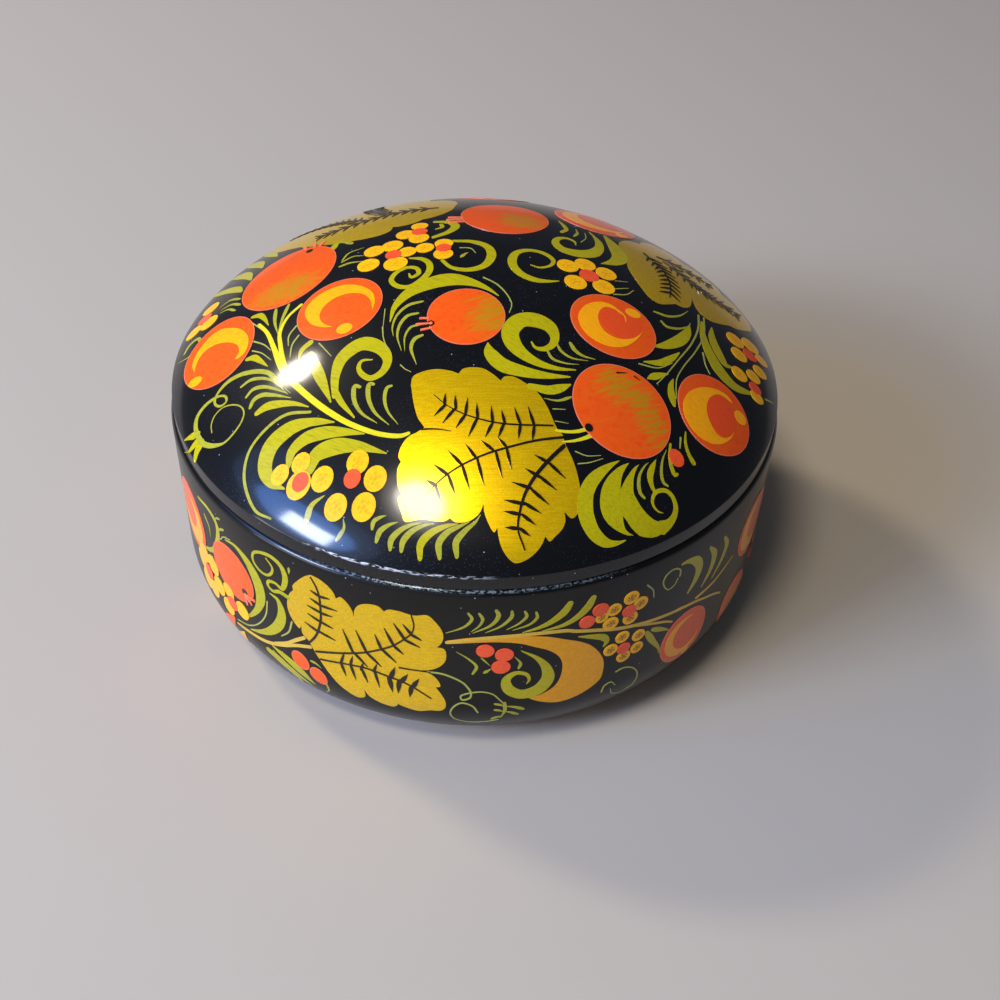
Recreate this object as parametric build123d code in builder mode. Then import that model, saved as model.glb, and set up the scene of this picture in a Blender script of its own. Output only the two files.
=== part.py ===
from build123d import *
import os

# Bowl, outside
rim_diameter = 120.0
seat_height = 44.5
rim_round = 1.5
belly_inset = 0.6
belly_height = 15.0
foot_inset = 9.9
foot_round = 0.6

# Bowl, inside
rim_wall = 6.0
floor_thickness = 5.0
inner_corner_radius = 12.0

# Spigot that the lid drops over
spigot_wall = 2.2
spigot_height = 4.0
spigot_round = 0.5

# Lid, outside: a band, a narrow shoulder that rolls over, and the crown
lid_inset = 0.6
band_height = 3.0
dome_height = 24.5
shoulder_width = 4.4
shoulder_height = 4.75
edge_round = 0.3
lip_round = 0.4

# Lid, inside
dome_wall = 4.5
spigot_clearance = 0.3
spigot_headroom = 0.6

# Radii and heights that follow from these
rim_radius = rim_diameter / 2
belly_radius = rim_radius - belly_inset
foot_radius = belly_radius - foot_inset
bore_radius = rim_radius - rim_wall
spigot_radius = bore_radius + spigot_wall
spigot_top = seat_height + spigot_height

lid_radius = rim_radius - lid_inset
edge_height = seat_height + band_height
top_height = edge_height + dome_height
rebate_radius = spigot_radius + spigot_clearance
rebate_top = spigot_top + spigot_headroom

# The crown and the hollow under it are arcs about one centre on the axis
crown_reach = lid_radius - shoulder_width
crown_height = dome_height - shoulder_height
crown_radius = (crown_reach**2 + crown_height**2) / (2 * crown_height)
crown_centre = top_height - crown_radius
hollow_radius = crown_radius - dome_wall
hollow_top = crown_centre + hollow_radius
hollow_reach = (hollow_radius**2 - (rebate_top - crown_centre) ** 2) ** 0.5

os.makedirs("parts", exist_ok=True)

# Bowl: one turned section, spun about the axis
with BuildPart() as bowl:
    with BuildSketch(Plane.XZ) as bowl_section:
        with BuildLine():
            base = Line((0, 0), (foot_radius, 0))
            wall = Line((belly_radius, belly_height), (rim_radius, seat_height))
            belly = TangentArc(wall @ 0, base @ 1, tangent=(wall % 0) * -1)
            seat = Line(wall @ 1, (spigot_radius, seat_height))
            spigot = Polyline(seat @ 1, (spigot_radius, spigot_top), (bore_radius, spigot_top))
            bore = Line(spigot @ 1, (bore_radius, floor_thickness + inner_corner_radius))
            corner = RadiusArc(
                bore @ 1, (bore_radius - inner_corner_radius, floor_thickness), inner_corner_radius
            )
            floor = Polyline(corner @ 1, (0, floor_thickness), (0, 0))
        make_face()
        fillet(bowl_section.vertices().sort_by_distance((rim_radius, seat_height))[0], rim_round)
        fillet(bowl_section.vertices().sort_by_distance((spigot_radius, spigot_top))[0], spigot_round)
        fillet(bowl_section.vertices().sort_by_distance((bore_radius, spigot_top))[0], spigot_round)
        fillet(bowl_section.vertices().sort_by_distance((foot_radius, 0))[0], foot_round)
    revolve(axis=Axis.Z)

bowl.part.label = "bowl"
export_step(bowl.part, "parts/bowl.step")

# Lid: a turned section whose rebate drops over the spigot and whose rim rests on the seat
with BuildPart() as lid:
    with BuildSketch(Plane.XZ) as lid_section:
        with BuildLine():
            rim = Line((rebate_radius, seat_height), (lid_radius, seat_height))
            band = Line(rim @ 1, (lid_radius, edge_height))
            crown = RadiusArc((0, top_height), (crown_reach, edge_height + shoulder_height), crown_radius)
            shoulder = TangentArc(crown @ 1, band @ 1, tangent=crown % 1)
            axis = Line(crown @ 0, (0, hollow_top))
            hollow = RadiusArc(axis @ 1, (hollow_reach, rebate_top), hollow_radius)
            rebate = Polyline(hollow @ 1, (rebate_radius, rebate_top), rim @ 0)
        make_face()
        fillet(lid_section.vertices().sort_by_distance((lid_radius, edge_height))[0], edge_round)
        fillet(lid_section.vertices().sort_by_distance((lid_radius, seat_height))[0], lip_round)
    revolve(axis=Axis.Z)

lid.part.label = "lid"
export_step(lid.part, "parts/lid.step")
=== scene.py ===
import logging
import math
from dataclasses import dataclass, field
from enum import Enum
from typing import ClassVar, Protocol, Sequence

import bmesh
import bpy
from mathutils import Matrix, Vector


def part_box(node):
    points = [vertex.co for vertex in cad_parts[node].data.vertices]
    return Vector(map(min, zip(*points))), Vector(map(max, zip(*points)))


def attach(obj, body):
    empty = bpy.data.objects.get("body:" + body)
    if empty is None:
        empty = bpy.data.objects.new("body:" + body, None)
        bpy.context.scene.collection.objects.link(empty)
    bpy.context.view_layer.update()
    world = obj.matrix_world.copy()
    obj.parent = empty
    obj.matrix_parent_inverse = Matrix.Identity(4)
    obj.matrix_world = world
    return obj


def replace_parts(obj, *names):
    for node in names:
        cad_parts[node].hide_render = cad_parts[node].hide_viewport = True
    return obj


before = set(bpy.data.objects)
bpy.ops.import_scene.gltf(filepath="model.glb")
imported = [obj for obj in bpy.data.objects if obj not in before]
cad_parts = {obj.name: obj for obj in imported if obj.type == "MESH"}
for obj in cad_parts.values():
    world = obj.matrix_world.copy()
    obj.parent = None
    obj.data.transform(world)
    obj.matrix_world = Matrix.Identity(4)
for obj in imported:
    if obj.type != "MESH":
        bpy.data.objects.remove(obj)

LOG = logging.getLogger("lacquer_box")
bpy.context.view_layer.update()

MM = 0.001
SEGMENTS = 288
PROFILE_STEP = 1.1

Point = tuple[float, float]
Brush = tuple[float, float, float]
Outline = tuple[tuple[Point, ...], ...]


def to_linear(code: str) -> tuple[float, float, float, float]:
    """Turn an sRGB hex code into a linear colour.

    Args:
        code: six hex digits after a hash.

    Returns:
        Red, green, blue and an alpha of 1.
    """
    parts = [int(code[i : i + 2], 16) / 255 for i in (1, 3, 5)]
    linear = [c / 12.92 if c <= 0.04045 else ((c + 0.055) / 1.055) ** 2.4 for c in parts]
    return (*linear, 1.0)


def add_node(
    tree: bpy.types.NodeTree, kind: str, inputs: dict | None = None, **settings: object
) -> bpy.types.Node:
    """Add one node with its settings, its values and its links.

    Args:
        tree: the material's or the world's tree.
        kind: the node's type name.
        inputs: value or output socket for each input, by name or number.
        settings: the node's own properties.

    Returns:
        The new node.
    """
    node = tree.nodes.new(kind)
    for name, value in settings.items():
        setattr(node, name, value)
    for key, value in (inputs or {}).items():
        if isinstance(value, bpy.types.NodeSocket):
            tree.links.new(value, node.inputs[key])
        else:
            node.inputs[key].default_value = value
    return node


def new_material(name: str) -> tuple[bpy.types.Material, bpy.types.NodeTree]:
    """Start an empty node material.

    Args:
        name: what the finish is called.

    Returns:
        The material and its cleared tree.
    """
    material = bpy.data.materials.new(name)
    material.use_nodes = True
    material.node_tree.nodes.clear()
    return material, material.node_tree


def noise(tree: bpy.types.NodeTree, grain: Vector, turn: float = 0.0, detail: float = 2.0) -> bpy.types.NodeSocket:
    """Noise on the object's own coordinates, stretched to a grain given in millimetres.

    Args:
        tree: the material's tree.
        grain: the grain's size along x, y and z in mm.
        turn: how far the grain is turned about the upright axis, in degrees.
        detail: the noise's octaves.

    Returns:
        The noise's value.
    """
    place = add_node(tree, "ShaderNodeTexCoord").outputs["Object"]
    turned = add_node(
        tree, "ShaderNodeMapping", {"Vector": place, "Rotation": (0, 0, math.radians(turn))}
    )
    scaled = add_node(
        tree,
        "ShaderNodeMapping",
        {"Vector": turned.outputs[0], "Scale": [1 / (size * MM) for size in grain]},
    )
    made = add_node(
        tree, "ShaderNodeTexNoise", {"Vector": scaled.outputs[0], "Scale": 1.0, "Detail": detail}
    )
    return made.outputs["Fac"]


def ramp(
    tree: bpy.types.NodeTree, value: bpy.types.NodeSocket, low: float, high: float, top: float = 1.0
) -> bpy.types.NodeSocket:
    """Map a value smoothly from 0 at low to top at high.

    Args:
        tree: the material's tree.
        value: what is mapped.
        low: the value that gives 0.
        high: the value that gives top.
        top: the highest result.

    Returns:
        The mapped value.
    """
    made = add_node(
        tree,
        "ShaderNodeMapRange",
        {"Value": value, "From Min": low, "From Max": high, "To Min": 0.0, "To Max": top},
        interpolation_type="SMOOTHSTEP",
    )
    return made.outputs["Result"]


def product(
    tree: bpy.types.NodeTree, first: bpy.types.NodeSocket, second: bpy.types.NodeSocket
) -> bpy.types.NodeSocket:
    """Two values multiplied."""
    return add_node(tree, "ShaderNodeMath", {0: first, 1: second}, operation="MULTIPLY").outputs[0]


def blend_colours(
    tree: bpy.types.NodeTree, amount: bpy.types.NodeSocket, first: object, second: object
) -> bpy.types.NodeSocket:
    """Mix two colours, each a hex code or a socket.

    Args:
        tree: the material's tree.
        amount: 0 for the first colour, 1 for the second.
        first: the colour at 0.
        second: the colour at 1.

    Returns:
        The mixed colour.
    """
    pair = [to_linear(c) if isinstance(c, str) else c for c in (first, second)]
    made = add_node(
        tree, "ShaderNodeMix", {"Factor": amount, 6: pair[0], 7: pair[1]}, data_type="RGBA"
    )
    return made.outputs[2]


CLEAR_LACQUER: dict[str, float] = {
    "Specular IOR Level": 0.1,
    "Coat Weight": 0.7,
    "Coat Roughness": 0.11,
    "Coat IOR": 1.5,
}


def close_material(
    tree: bpy.types.NodeTree, colour: object, coat: dict[str, float] | None = None, **sockets: object
) -> None:
    """Finish a material with its shader and output.

    Args:
        tree: the material's tree.
        colour: the base colour.
        coat: the values of a clear coat, none for an uncoated surface.
        sockets: the shader's other inputs, with underscores for spaces.
    """
    inputs = {**(coat or {}), **{name.replace("_", " "): value for name, value in sockets.items()}}
    shader = add_node(tree, "ShaderNodeBsdfPrincipled", {"Base Color": colour, **inputs})
    add_node(tree, "ShaderNodeOutputMaterial", {"Surface": shader.outputs[0]})


def bump(tree: bpy.types.NodeTree, height: bpy.types.NodeSocket, depth: float) -> bpy.types.NodeSocket:
    """A bump of the given depth in mm, as a normal."""
    made = add_node(tree, "ShaderNodeBump", {"Height": height, "Distance": depth * MM, "Strength": 1.0})
    return made.outputs["Normal"]


@dataclass(frozen=True)
class WornRingAndGlint:
    """A turned edge rubbed down to the silvery undercoat: where it is in mm, and from where to where.

    The angles are in degrees round from the front, to the right. On the bowl's rim the ring also paints a highlight,
    the glint of light along the rounded edge.
    """

    radius: float
    height: float
    reach: float
    start: float
    end: float
    amount: float
    fade: float = 5.0
    dash: float = 1.3

    def amount_socket(self, tree: bpy.types.NodeTree) -> bpy.types.NodeSocket:
        """Where the edge is rubbed through, and on the bowl's rim where a glint of light is painted.

        Args:
            tree: the material's tree.

        Returns:
            0 for sound lacquer, 1 for the rubbed-through undercoat, also the painted glint on the bowl's rim.
        """
        place = add_node(tree, "ShaderNodeTexCoord").outputs["Object"]
        apart = add_node(tree, "ShaderNodeSeparateXYZ", {0: place})
        flat = add_node(tree, "ShaderNodeCombineXYZ", {0: apart.outputs[0], 1: apart.outputs[1]})
        radius = add_node(tree, "ShaderNodeVectorMath", {0: flat.outputs[0]}, operation="LENGTH")
        section = add_node(tree, "ShaderNodeCombineXYZ", {0: radius.outputs["Value"], 1: apart.outputs[2]})
        ring = (self.radius * MM, self.height * MM, 0.0)
        away = add_node(tree, "ShaderNodeVectorMath", {0: section.outputs[0], 1: ring}, operation="DISTANCE")
        near = ramp(tree, away.outputs["Value"], self.reach * MM, 0.3 * self.reach * MM)
        front = add_node(tree, "ShaderNodeMath", {0: apart.outputs[1], 1: -1.0}, operation="MULTIPLY")
        turn = add_node(tree, "ShaderNodeMath", {0: apart.outputs[0], 1: front.outputs[0]}, operation="ARCTAN2")
        first, last, fade = (math.radians(a) for a in (self.start, self.end, self.fade))
        begun = ramp(tree, turn.outputs[0], first - fade, first + fade)
        over = ramp(tree, turn.outputs[0], last + fade, last - fade)
        ragged = noise(tree, Vector((self.dash, self.dash, 0.25)), detail=4.0)
        dashes = ramp(tree, ragged, 0.6 - self.amount, 0.7 - self.amount)
        return product(tree, product(tree, near, dashes), product(tree, begun, over))


@dataclass(frozen=True)
class BlackLacquer:
    """Oil lacquer over a black ground coat on turned limewood: a deep black with a hard, wet gloss.

    Fine dust caught in the varnish shows as blue-grey grain, and the turned edge is rubbed down
    to the silvery undercoat in ragged dashes. On the bowl's rim the same ring also paints a
    highlight, the glint of light along the rounded edge.
    """

    name: str
    worn_and_glint: WornRingAndGlint
    black: str = "#090b0f"
    warm_black: str = "#0b0907"
    dust: str = "#3c465a"
    speck: str = "#b8c2cc"
    # The colour where the edge is rubbed through; the bowl's blue-grey one also paints the glint of light on its rim.
    primer_and_glint: str = "#c9ccce"
    dust_spacing: float = 0.46
    speck_spacing: float = 2.6
    roughness: float = 0.4
    coat_weight: float = 0.7

    def build(self) -> bpy.types.Material:
        """Make the material."""
        material, tree = new_material(self.name)
        base = blend_colours(tree, noise(tree, Vector((18, 18, 18))), self.black, self.warm_black)
        patchy = ramp(tree, noise(tree, Vector((14, 14, 14))), 0.36, 0.66, 0.62)
        hazy = blend_colours(tree, product(tree, self.grains(tree, self.dust_spacing, 0.26), patchy), base, self.dust)
        dotted = blend_colours(tree, self.grains(tree, self.speck_spacing, 0.05), hazy, self.speck)
        # The rubbed-through edge; on the bowl's rim this mask also paints a highlight, the glint of light along the
        # rounded edge.
        rubbed_and_glint = self.worn_and_glint.amount_socket(tree)
        close_material(
            tree,
            blend_colours(tree, rubbed_and_glint, dotted, self.primer_and_glint),
            {**CLEAR_LACQUER, "Coat Weight": self.coat_weight},
            Metallic=ramp(tree, rubbed_and_glint, 0.0, 1.0, 0.4),
            Roughness=self.roughness,
        )
        return material

    @staticmethod
    def grains(tree: bpy.types.NodeTree, spacing: float, size: float) -> bpy.types.NodeSocket:
        """Scattered grains, a spacing in mm apart, whose size is a share of the spacing."""
        place = add_node(tree, "ShaderNodeTexCoord").outputs["Object"]
        cells = add_node(tree, "ShaderNodeTexVoronoi", {"Vector": place, "Scale": 1 / (spacing * MM)})
        return ramp(tree, cells.outputs["Distance"], size, size * 0.4)


@dataclass(frozen=True)
class GoldPowderPaint:
    """Metal powder in drying oil, gilded by the baked lacquer over it.

    The powder settles in fine brush lines that run across the leaf, so the gold is satin under
    a glossy coat, and it glows widely round a highlight.
    """

    name: str
    gold: str = "#ffd202"
    deep_gold: str = "#e4b002"
    line_length: float = 8.0
    line_width: float = 0.26
    line_turn: float = -4.0
    speck: float = 0.2
    metallic: float = 0.62
    roughness: float = 0.36

    def build(self) -> bpy.types.Material:
        """Make the material."""
        material, tree = new_material(self.name)
        width = self.line_width
        lines = noise(tree, Vector((self.line_length, width, width)), turn=self.line_turn, detail=3.0)
        specks = noise(tree, Vector((self.speck, self.speck, self.speck)), detail=1.0)
        both = add_node(tree, "ShaderNodeMath", {0: lines, 1: specks}, operation="ADD")
        shade = ramp(tree, both.outputs[0], 0.72, 1.25, 0.85)
        colour = blend_colours(tree, shade, self.gold, self.deep_gold)
        close_material(
            tree,
            colour,
            CLEAR_LACQUER,
            Metallic=self.metallic,
            Roughness=self.roughness,
            Normal=bump(tree, specks, 0.012),
        )
        return material


@dataclass(frozen=True)
class OilPaint:
    """Artist's oil colour under clear lacquer: an even body colour with faint brush drag."""

    name: str
    colour: str
    shade: str
    drag_length: float = 2.5
    drag_width: float = 0.3
    drag_turn: float = 30.0
    roughness: float = 0.45

    def build(self) -> bpy.types.Material:
        """Make the material."""
        material, tree = new_material(self.name)
        width = self.drag_width
        drag = noise(tree, Vector((self.drag_length, width, width)), turn=self.drag_turn, detail=3.0)
        colour = blend_colours(tree, ramp(tree, drag, 0.4, 0.85), self.colour, self.shade)
        self.close(tree, colour)
        return material

    def close(self, tree: bpy.types.NodeTree, colour: bpy.types.NodeSocket) -> None:
        """Finish with the lacquer coat that lies over all the paint."""
        close_material(tree, colour, CLEAR_LACQUER, Roughness=self.roughness)


@dataclass(frozen=True)
class HatchedOilPaint(OilPaint):
    """Berry red with a dry brush of olive dragged over one side, so that the red shows through."""

    olive: str = "#a8880a"
    attribute: str = "olive_brush"
    streak_length: float = 9.0
    streak_width: float = 0.42
    streak_turn: float = -28.0

    def build(self) -> bpy.types.Material:
        """Make the material."""
        material, tree = new_material(self.name)
        mottle = noise(tree, Vector((1.1, 1.1, 1.1)), detail=4.0)
        red = blend_colours(tree, ramp(tree, mottle, 0.45, 0.85), self.colour, self.shade)
        brushed = add_node(tree, "ShaderNodeAttribute", attribute_name=self.attribute).outputs["Fac"]
        width = self.streak_width
        streaks = noise(tree, Vector((self.streak_length, width, width)), turn=self.streak_turn, detail=3.0)
        hairs = ramp(tree, streaks, 0.3, 0.7)
        total = add_node(tree, "ShaderNodeMath", {0: hairs, 1: brushed}, operation="ADD")
        shown = ramp(tree, total.outputs[0], 0.64, 1.7, 0.76)
        self.close(tree, blend_colours(tree, shown, red, self.olive))
        return material


@dataclass(frozen=True)
class TinnedInside:
    """Tinned and lacquered inside: aluminium powder under amber lacquer, which looks like old gold."""

    name: str = "gilded_lacquer_inside"
    gold: str = "#c8902a"
    deep_gold: str = "#8a5a16"

    def build(self) -> bpy.types.Material:
        """Make the material."""
        material, tree = new_material(self.name)
        clouds = noise(tree, Vector((11, 11, 11)), detail=4.0)
        grain = noise(tree, Vector((0.4, 0.4, 0.4)), detail=2.0)
        both = add_node(tree, "ShaderNodeMath", {0: clouds, 1: grain}, operation="ADD")
        colour = blend_colours(tree, ramp(tree, both.outputs[0], 0.75, 1.3), self.gold, self.deep_gold)
        close_material(
            tree,
            colour,
            CLEAR_LACQUER,
            Metallic=0.75,
            Roughness=0.34,
            Normal=bump(tree, grain, 0.01),
        )
        return material


@dataclass(frozen=True)
class Arc:
    """A circle in the turned section, centre at a radius and a height, all in mm."""

    radius_at: float
    height_at: float
    size: float

    @classmethod
    def tangent(cls, start: Point, outward: Vector, end: Point) -> "Arc":
        """The arc that leaves start square to outward and reaches end.

        Args:
            start: radius and height where the arc is tangent.
            outward: unit normal of the section at start.
            end: radius and height of the other end.

        Returns:
            The arc.
        """
        span = Vector((start[0] - end[0], start[1] - end[1]))
        size = span.length_squared / (2 * span.dot(outward))
        return cls(start[0] - outward.x * size, start[1] - outward.y * size, size)

    def height(self, radius: float) -> float:
        """Height of the arc's upper half at a radius."""
        return self.height_at + math.sqrt(self.size**2 - (radius - self.radius_at) ** 2)

    def radius(self, height: float) -> float:
        """Radius of the arc's outer half at a height."""
        return self.radius_at + math.sqrt(self.size**2 - (height - self.height_at) ** 2)

    def normal(self, radius: float, height: float) -> Vector:
        """Unit normal at a point of the arc, as radius and height."""
        return Vector(((radius - self.radius_at) / self.size, (height - self.height_at) / self.size))

    def points(self, start: Point, end: Point, step: float) -> list[Point]:
        """Points along the arc after start, up to and with end.

        Args:
            start: where the arc begins.
            end: where it ends.
            step: the largest distance between points.

        Returns:
            The points, as radius and height.
        """
        first = math.atan2(start[1] - self.height_at, start[0] - self.radius_at)
        last = math.atan2(end[1] - self.height_at, end[0] - self.radius_at)
        count = max(1, math.ceil(abs(last - first) * self.size / step))
        made = []
        for i in range(1, count + 1):
            angle = first + (last - first) * i / count
            made.append(
                (self.radius_at + self.size * math.cos(angle), self.height_at + self.size * math.sin(angle))
            )
        made[-1] = end
        return made


def straight(start: Point, end: Point, step: float) -> list[Point]:
    """Points along a line after start, up to and with end, no more than a step apart."""
    count = max(1, math.ceil(math.dist(start, end) / step))
    return [
        (start[0] + (end[0] - start[0]) * i / count, start[1] + (end[1] - start[1]) * i / count)
        for i in range(1, count + 1)
    ]


@dataclass(frozen=True)
class RoundedCorner:
    """A ring of the turned shell that is rounded: where it is, and how far the round reaches."""

    radius: float
    height: float
    reach: float

    def rings(self, bm: bmesh.types.BMesh) -> list[bmesh.types.BMEdge]:
        """The edges of the shell that lie on the corner."""
        here = (self.radius * MM, self.height * MM)
        near = {
            v for v in bm.verts if math.dist((math.hypot(v.co.x, v.co.y), v.co.z), here) < 0.02 * MM
        }
        return [e for e in bm.edges if e.verts[0] in near and e.verts[1] in near]


def turned_shell(section: Sequence[Point], corners: Sequence[RoundedCorner]) -> bmesh.types.BMesh:
    """Spin a section about the upright axis and round its corners.

    Args:
        section: radius and height of each point in mm, from the axis outwards and back to the axis.
        corners: the rings that are rounded.

    Returns:
        A closed shell in metres.
    """
    bm = bmesh.new()
    verts = [bm.verts.new((radius * MM, 0, height * MM)) for radius, height in section]
    edges = [bm.edges.new(pair) for pair in zip(verts, verts[1:])]
    bmesh.ops.spin(
        bm,
        geom=verts + edges,
        axis=(0, 0, 1),
        cent=(0, 0, 0),
        angle=math.tau,
        steps=SEGMENTS,
        use_merge=True,
    )
    bmesh.ops.remove_doubles(bm, verts=bm.verts[:], dist=0.001 * MM)
    for corner in corners:
        bmesh.ops.bevel(
            bm,
            geom=corner.rings(bm),
            offset=corner.reach * MM,
            offset_type="OFFSET",
            segments=6,
            profile=0.5,
            affect="EDGES",
            material=-1,
            clamp_overlap=True,
        )
    bmesh.ops.recalc_face_normals(bm, faces=bm.faces[:])
    return bm


def make_piece(
    bm: bmesh.types.BMesh, name: str, body: str, materials: Sequence[bpy.types.Material]
) -> bpy.types.Object:
    """Turn a bmesh into a finished piece that rides on a body.

    Args:
        bm: the mesh in metres, in the frame.
        name: the piece's name.
        body: the CAD body it rides on.
        materials: the materials, by the faces' index.

    Returns:
        The piece.
    """
    for face in bm.faces:
        face.smooth = True
    for edge in bm.edges:
        if edge.is_manifold and edge.calc_face_angle() > math.radians(28):
            edge.smooth = False
    mesh = bpy.data.meshes.new(name)
    bm.to_mesh(mesh)
    bm.free()
    for material in materials:
        mesh.materials.append(material)
    piece = bpy.data.objects.new(name, mesh)
    bpy.context.scene.collection.objects.link(piece)
    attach(piece, body)
    LOG.info("%s: %d faces", name, len(mesh.polygons))
    return piece


@dataclass(frozen=True)
class LidShape:
    """The turned lid: band, shoulder and crown outside, a rebate and a domed hollow inside, in mm."""

    radius: float
    seat: float
    top: float
    rebate_radius: float
    rebate_top: float
    band_height: float = 3.0
    shoulder_width: float = 4.4
    shoulder_height: float = 4.75
    dome_wall: float = 4.5
    edge_reach: float = 0.095
    lip_reach: float = 0.4

    @property
    def edge(self) -> float:
        """Height of the crisp edge between band and shoulder."""
        return self.seat + self.band_height

    @property
    def crown_reach(self) -> float:
        """Radius at which the crown meets the shoulder."""
        return self.radius - self.shoulder_width

    @property
    def crown(self) -> Arc:
        """The crown's arc, centred on the axis."""
        rise = self.top - self.edge - self.shoulder_height
        size = (self.crown_reach**2 + rise**2) / (2 * rise)
        return Arc(0.0, self.top - size, size)

    @property
    def shoulder(self) -> Arc:
        """The shoulder's arc, tangent to the crown."""
        start = (self.crown_reach, self.edge + self.shoulder_height)
        return Arc.tangent(start, self.crown.normal(*start), (self.radius, self.edge))

    def point(self, x: float, y: float, lift: float) -> Vector:
        """A point over the lid's plan, lifted off the surface.

        Args:
            x: place to the right of the axis.
            y: place behind the axis.
            lift: distance off the surface.

        Returns:
            The point in metres.
        """
        reach = math.hypot(x, y)
        arc = self.crown if reach <= self.crown_reach else self.shoulder
        height = arc.height(min(reach, self.radius))
        out = arc.normal(reach, height)
        share = (reach + out.x * lift) / max(reach, 1e-9)
        return Vector((x * share, y * share, height + out.y * lift)) * MM

    def section(self) -> list[Point]:
        """The closed section from the crown's top round to the hollow's top."""
        crown, shoulder = self.crown, self.shoulder
        meet = (self.crown_reach, self.edge + self.shoulder_height)
        hollow = Arc(0.0, crown.height_at, crown.size - self.dome_wall)
        hollow_reach = hollow.radius(self.rebate_top)
        points = [(0.0, self.top)]
        points += crown.points(points[-1], meet, PROFILE_STEP)
        points += shoulder.points(meet, (self.radius, self.edge), 0.6)
        points += [(self.radius, self.seat), (self.rebate_radius, self.seat)]
        points += [(self.rebate_radius, self.rebate_top), (hollow_reach, self.rebate_top)]
        points += hollow.points(points[-1], (0.0, hollow.height_at + hollow.size), 2 * PROFILE_STEP)
        return points


@dataclass(frozen=True)
class BowlShape:
    """The turned bowl: foot, belly and wall outside, seat and spigot on top, a round bore inside."""

    rim_radius: float
    spigot_top: float
    seat: float = 44.5
    belly_inset: float = 0.6
    belly_height: float = 15.0
    foot_inset: float = 9.9
    rim_wall: float = 6.0
    floor_thickness: float = 5.0
    corner_radius: float = 12.0
    spigot_wall: float = 2.2
    rim_reach: float = 1.5
    foot_reach: float = 0.13
    spigot_reach: float = 0.5

    @property
    def belly_radius(self) -> float:
        """Radius where the belly meets the wall."""
        return self.rim_radius - self.belly_inset

    @property
    def foot_radius(self) -> float:
        """Radius of the flat that the bowl stands on."""
        return self.belly_radius - self.foot_inset

    @property
    def wall_out(self) -> Vector:
        """Unit normal of the straight wall, as radius and height."""
        return Vector((self.seat - self.belly_height, -self.belly_inset)).normalized()

    @property
    def belly(self) -> Arc:
        """The belly's arc, tangent to the wall."""
        start = (self.belly_radius, self.belly_height)
        return Arc.tangent(start, self.wall_out, (self.foot_radius, 0.0))

    def point(self, along: float, height: float, lift: float) -> Vector:
        """A point on the wall unrolled about the front, lifted off the surface.

        Args:
            along: distance round the rim from the front, to the right.
            height: height above the foot.
            lift: distance off the surface.

        Returns:
            The point in metres.
        """
        if height >= self.belly_height:
            share = (height - self.belly_height) / (self.seat - self.belly_height)
            radius, out = self.belly_radius + share * self.belly_inset, self.wall_out
        else:
            radius = self.belly.radius(height)
            out = self.belly.normal(radius, height)
        angle = along / self.rim_radius
        radius += out.x * lift
        return Vector((radius * math.sin(angle), -radius * math.cos(angle), height + out.y * lift)) * MM

    def section(self) -> list[Point]:
        """The closed section from the foot's middle round to the floor's middle."""
        bore = self.rim_radius - self.rim_wall
        spigot = bore + self.spigot_wall
        corner = Arc(bore - self.corner_radius, self.floor_thickness + self.corner_radius, self.corner_radius)
        bottom = (bore - self.corner_radius, self.floor_thickness)
        points = [(0.0, 0.0)]
        points += straight(points[-1], (self.foot_radius, 0.0), 8.0)
        points += self.belly.points(points[-1], (self.belly_radius, self.belly_height), PROFILE_STEP)
        points += straight(points[-1], (self.rim_radius, self.seat), 8.0)
        points += [(spigot, self.seat), (spigot, self.spigot_top), (bore, self.spigot_top)]
        points += straight(points[-1], (bore, self.floor_thickness + self.corner_radius), 8.0)
        points += corner.points(points[-1], bottom, PROFILE_STEP)
        points += straight(points[-1], (0.0, self.floor_thickness), 8.0)
        return points


class Surface(Protocol):
    """A turned outside that paint is laid on."""

    def point(self, across: float, up: float, lift: float) -> Vector:
        """A point in metres over a place of the flat drawing in mm."""
        ...


def smooth_line(points: Sequence[tuple[float, ...]], step: float) -> list[tuple[float, ...]]:
    """A smooth curve through points, which may carry a brush width.

    Args:
        points: the points that the curve passes.
        step: about how far apart the curve's points are.

    Returns:
        The curve's points.
    """
    if len(points) < 3:
        points = [points[0], tuple((a + b) / 2 for a, b in zip(points[0], points[1])), points[1]]
    before = tuple(2 * a - b for a, b in zip(points[0], points[1]))
    after = tuple(2 * a - b for a, b in zip(points[-1], points[-2]))
    padded = [before, *points, after]
    knots = [0.0]
    for a, b in zip(padded, padded[1:]):
        knots.append(knots[-1] + max(math.dist(a[:2], b[:2]), 1e-4) ** 0.5)
    curve = [tuple(points[0])]
    for i in range(1, len(padded) - 2):
        count = max(1, math.ceil(math.dist(padded[i][:2], padded[i + 1][:2]) / step))
        for k in range(1, count + 1):
            at = knots[i] + (knots[i + 1] - knots[i]) * k / count
            curve.append(_through(padded[i - 1 : i + 3], knots[i - 1 : i + 3], at))
    return curve


def _through(points: Sequence[tuple[float, ...]], knots: Sequence[float], at: float) -> tuple[float, ...]:
    """The point at a knot value of the curve through four points."""

    def mix(a: tuple[float, ...], b: tuple[float, ...], low: float, high: float) -> tuple[float, ...]:
        """The point between a and b."""
        share = (at - low) / (high - low)
        return tuple(p + (q - p) * share for p, q in zip(a, b))

    first = [mix(points[i], points[i + 1], knots[i], knots[i + 1]) for i in range(3)]
    second = [mix(first[i], first[i + 1], knots[i], knots[i + 2]) for i in range(2)]
    return mix(second[0], second[1], knots[1], knots[2])


def smooth_outline(lobes: Outline, step: float = 0.35) -> list[Point]:
    """A closed outline of smooth lobes that meet in cusps.

    Args:
        lobes: each lobe's points after the cusp where the last one ended.
        step: about how far apart the outline's points are.

    Returns:
        The outline's points, once round.
    """
    corner = lobes[-1][-1]
    made: list[Point] = []
    for lobe in lobes:
        made += smooth_line([corner, *lobe], step)[1:]
        corner = lobe[-1]
    return made


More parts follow.
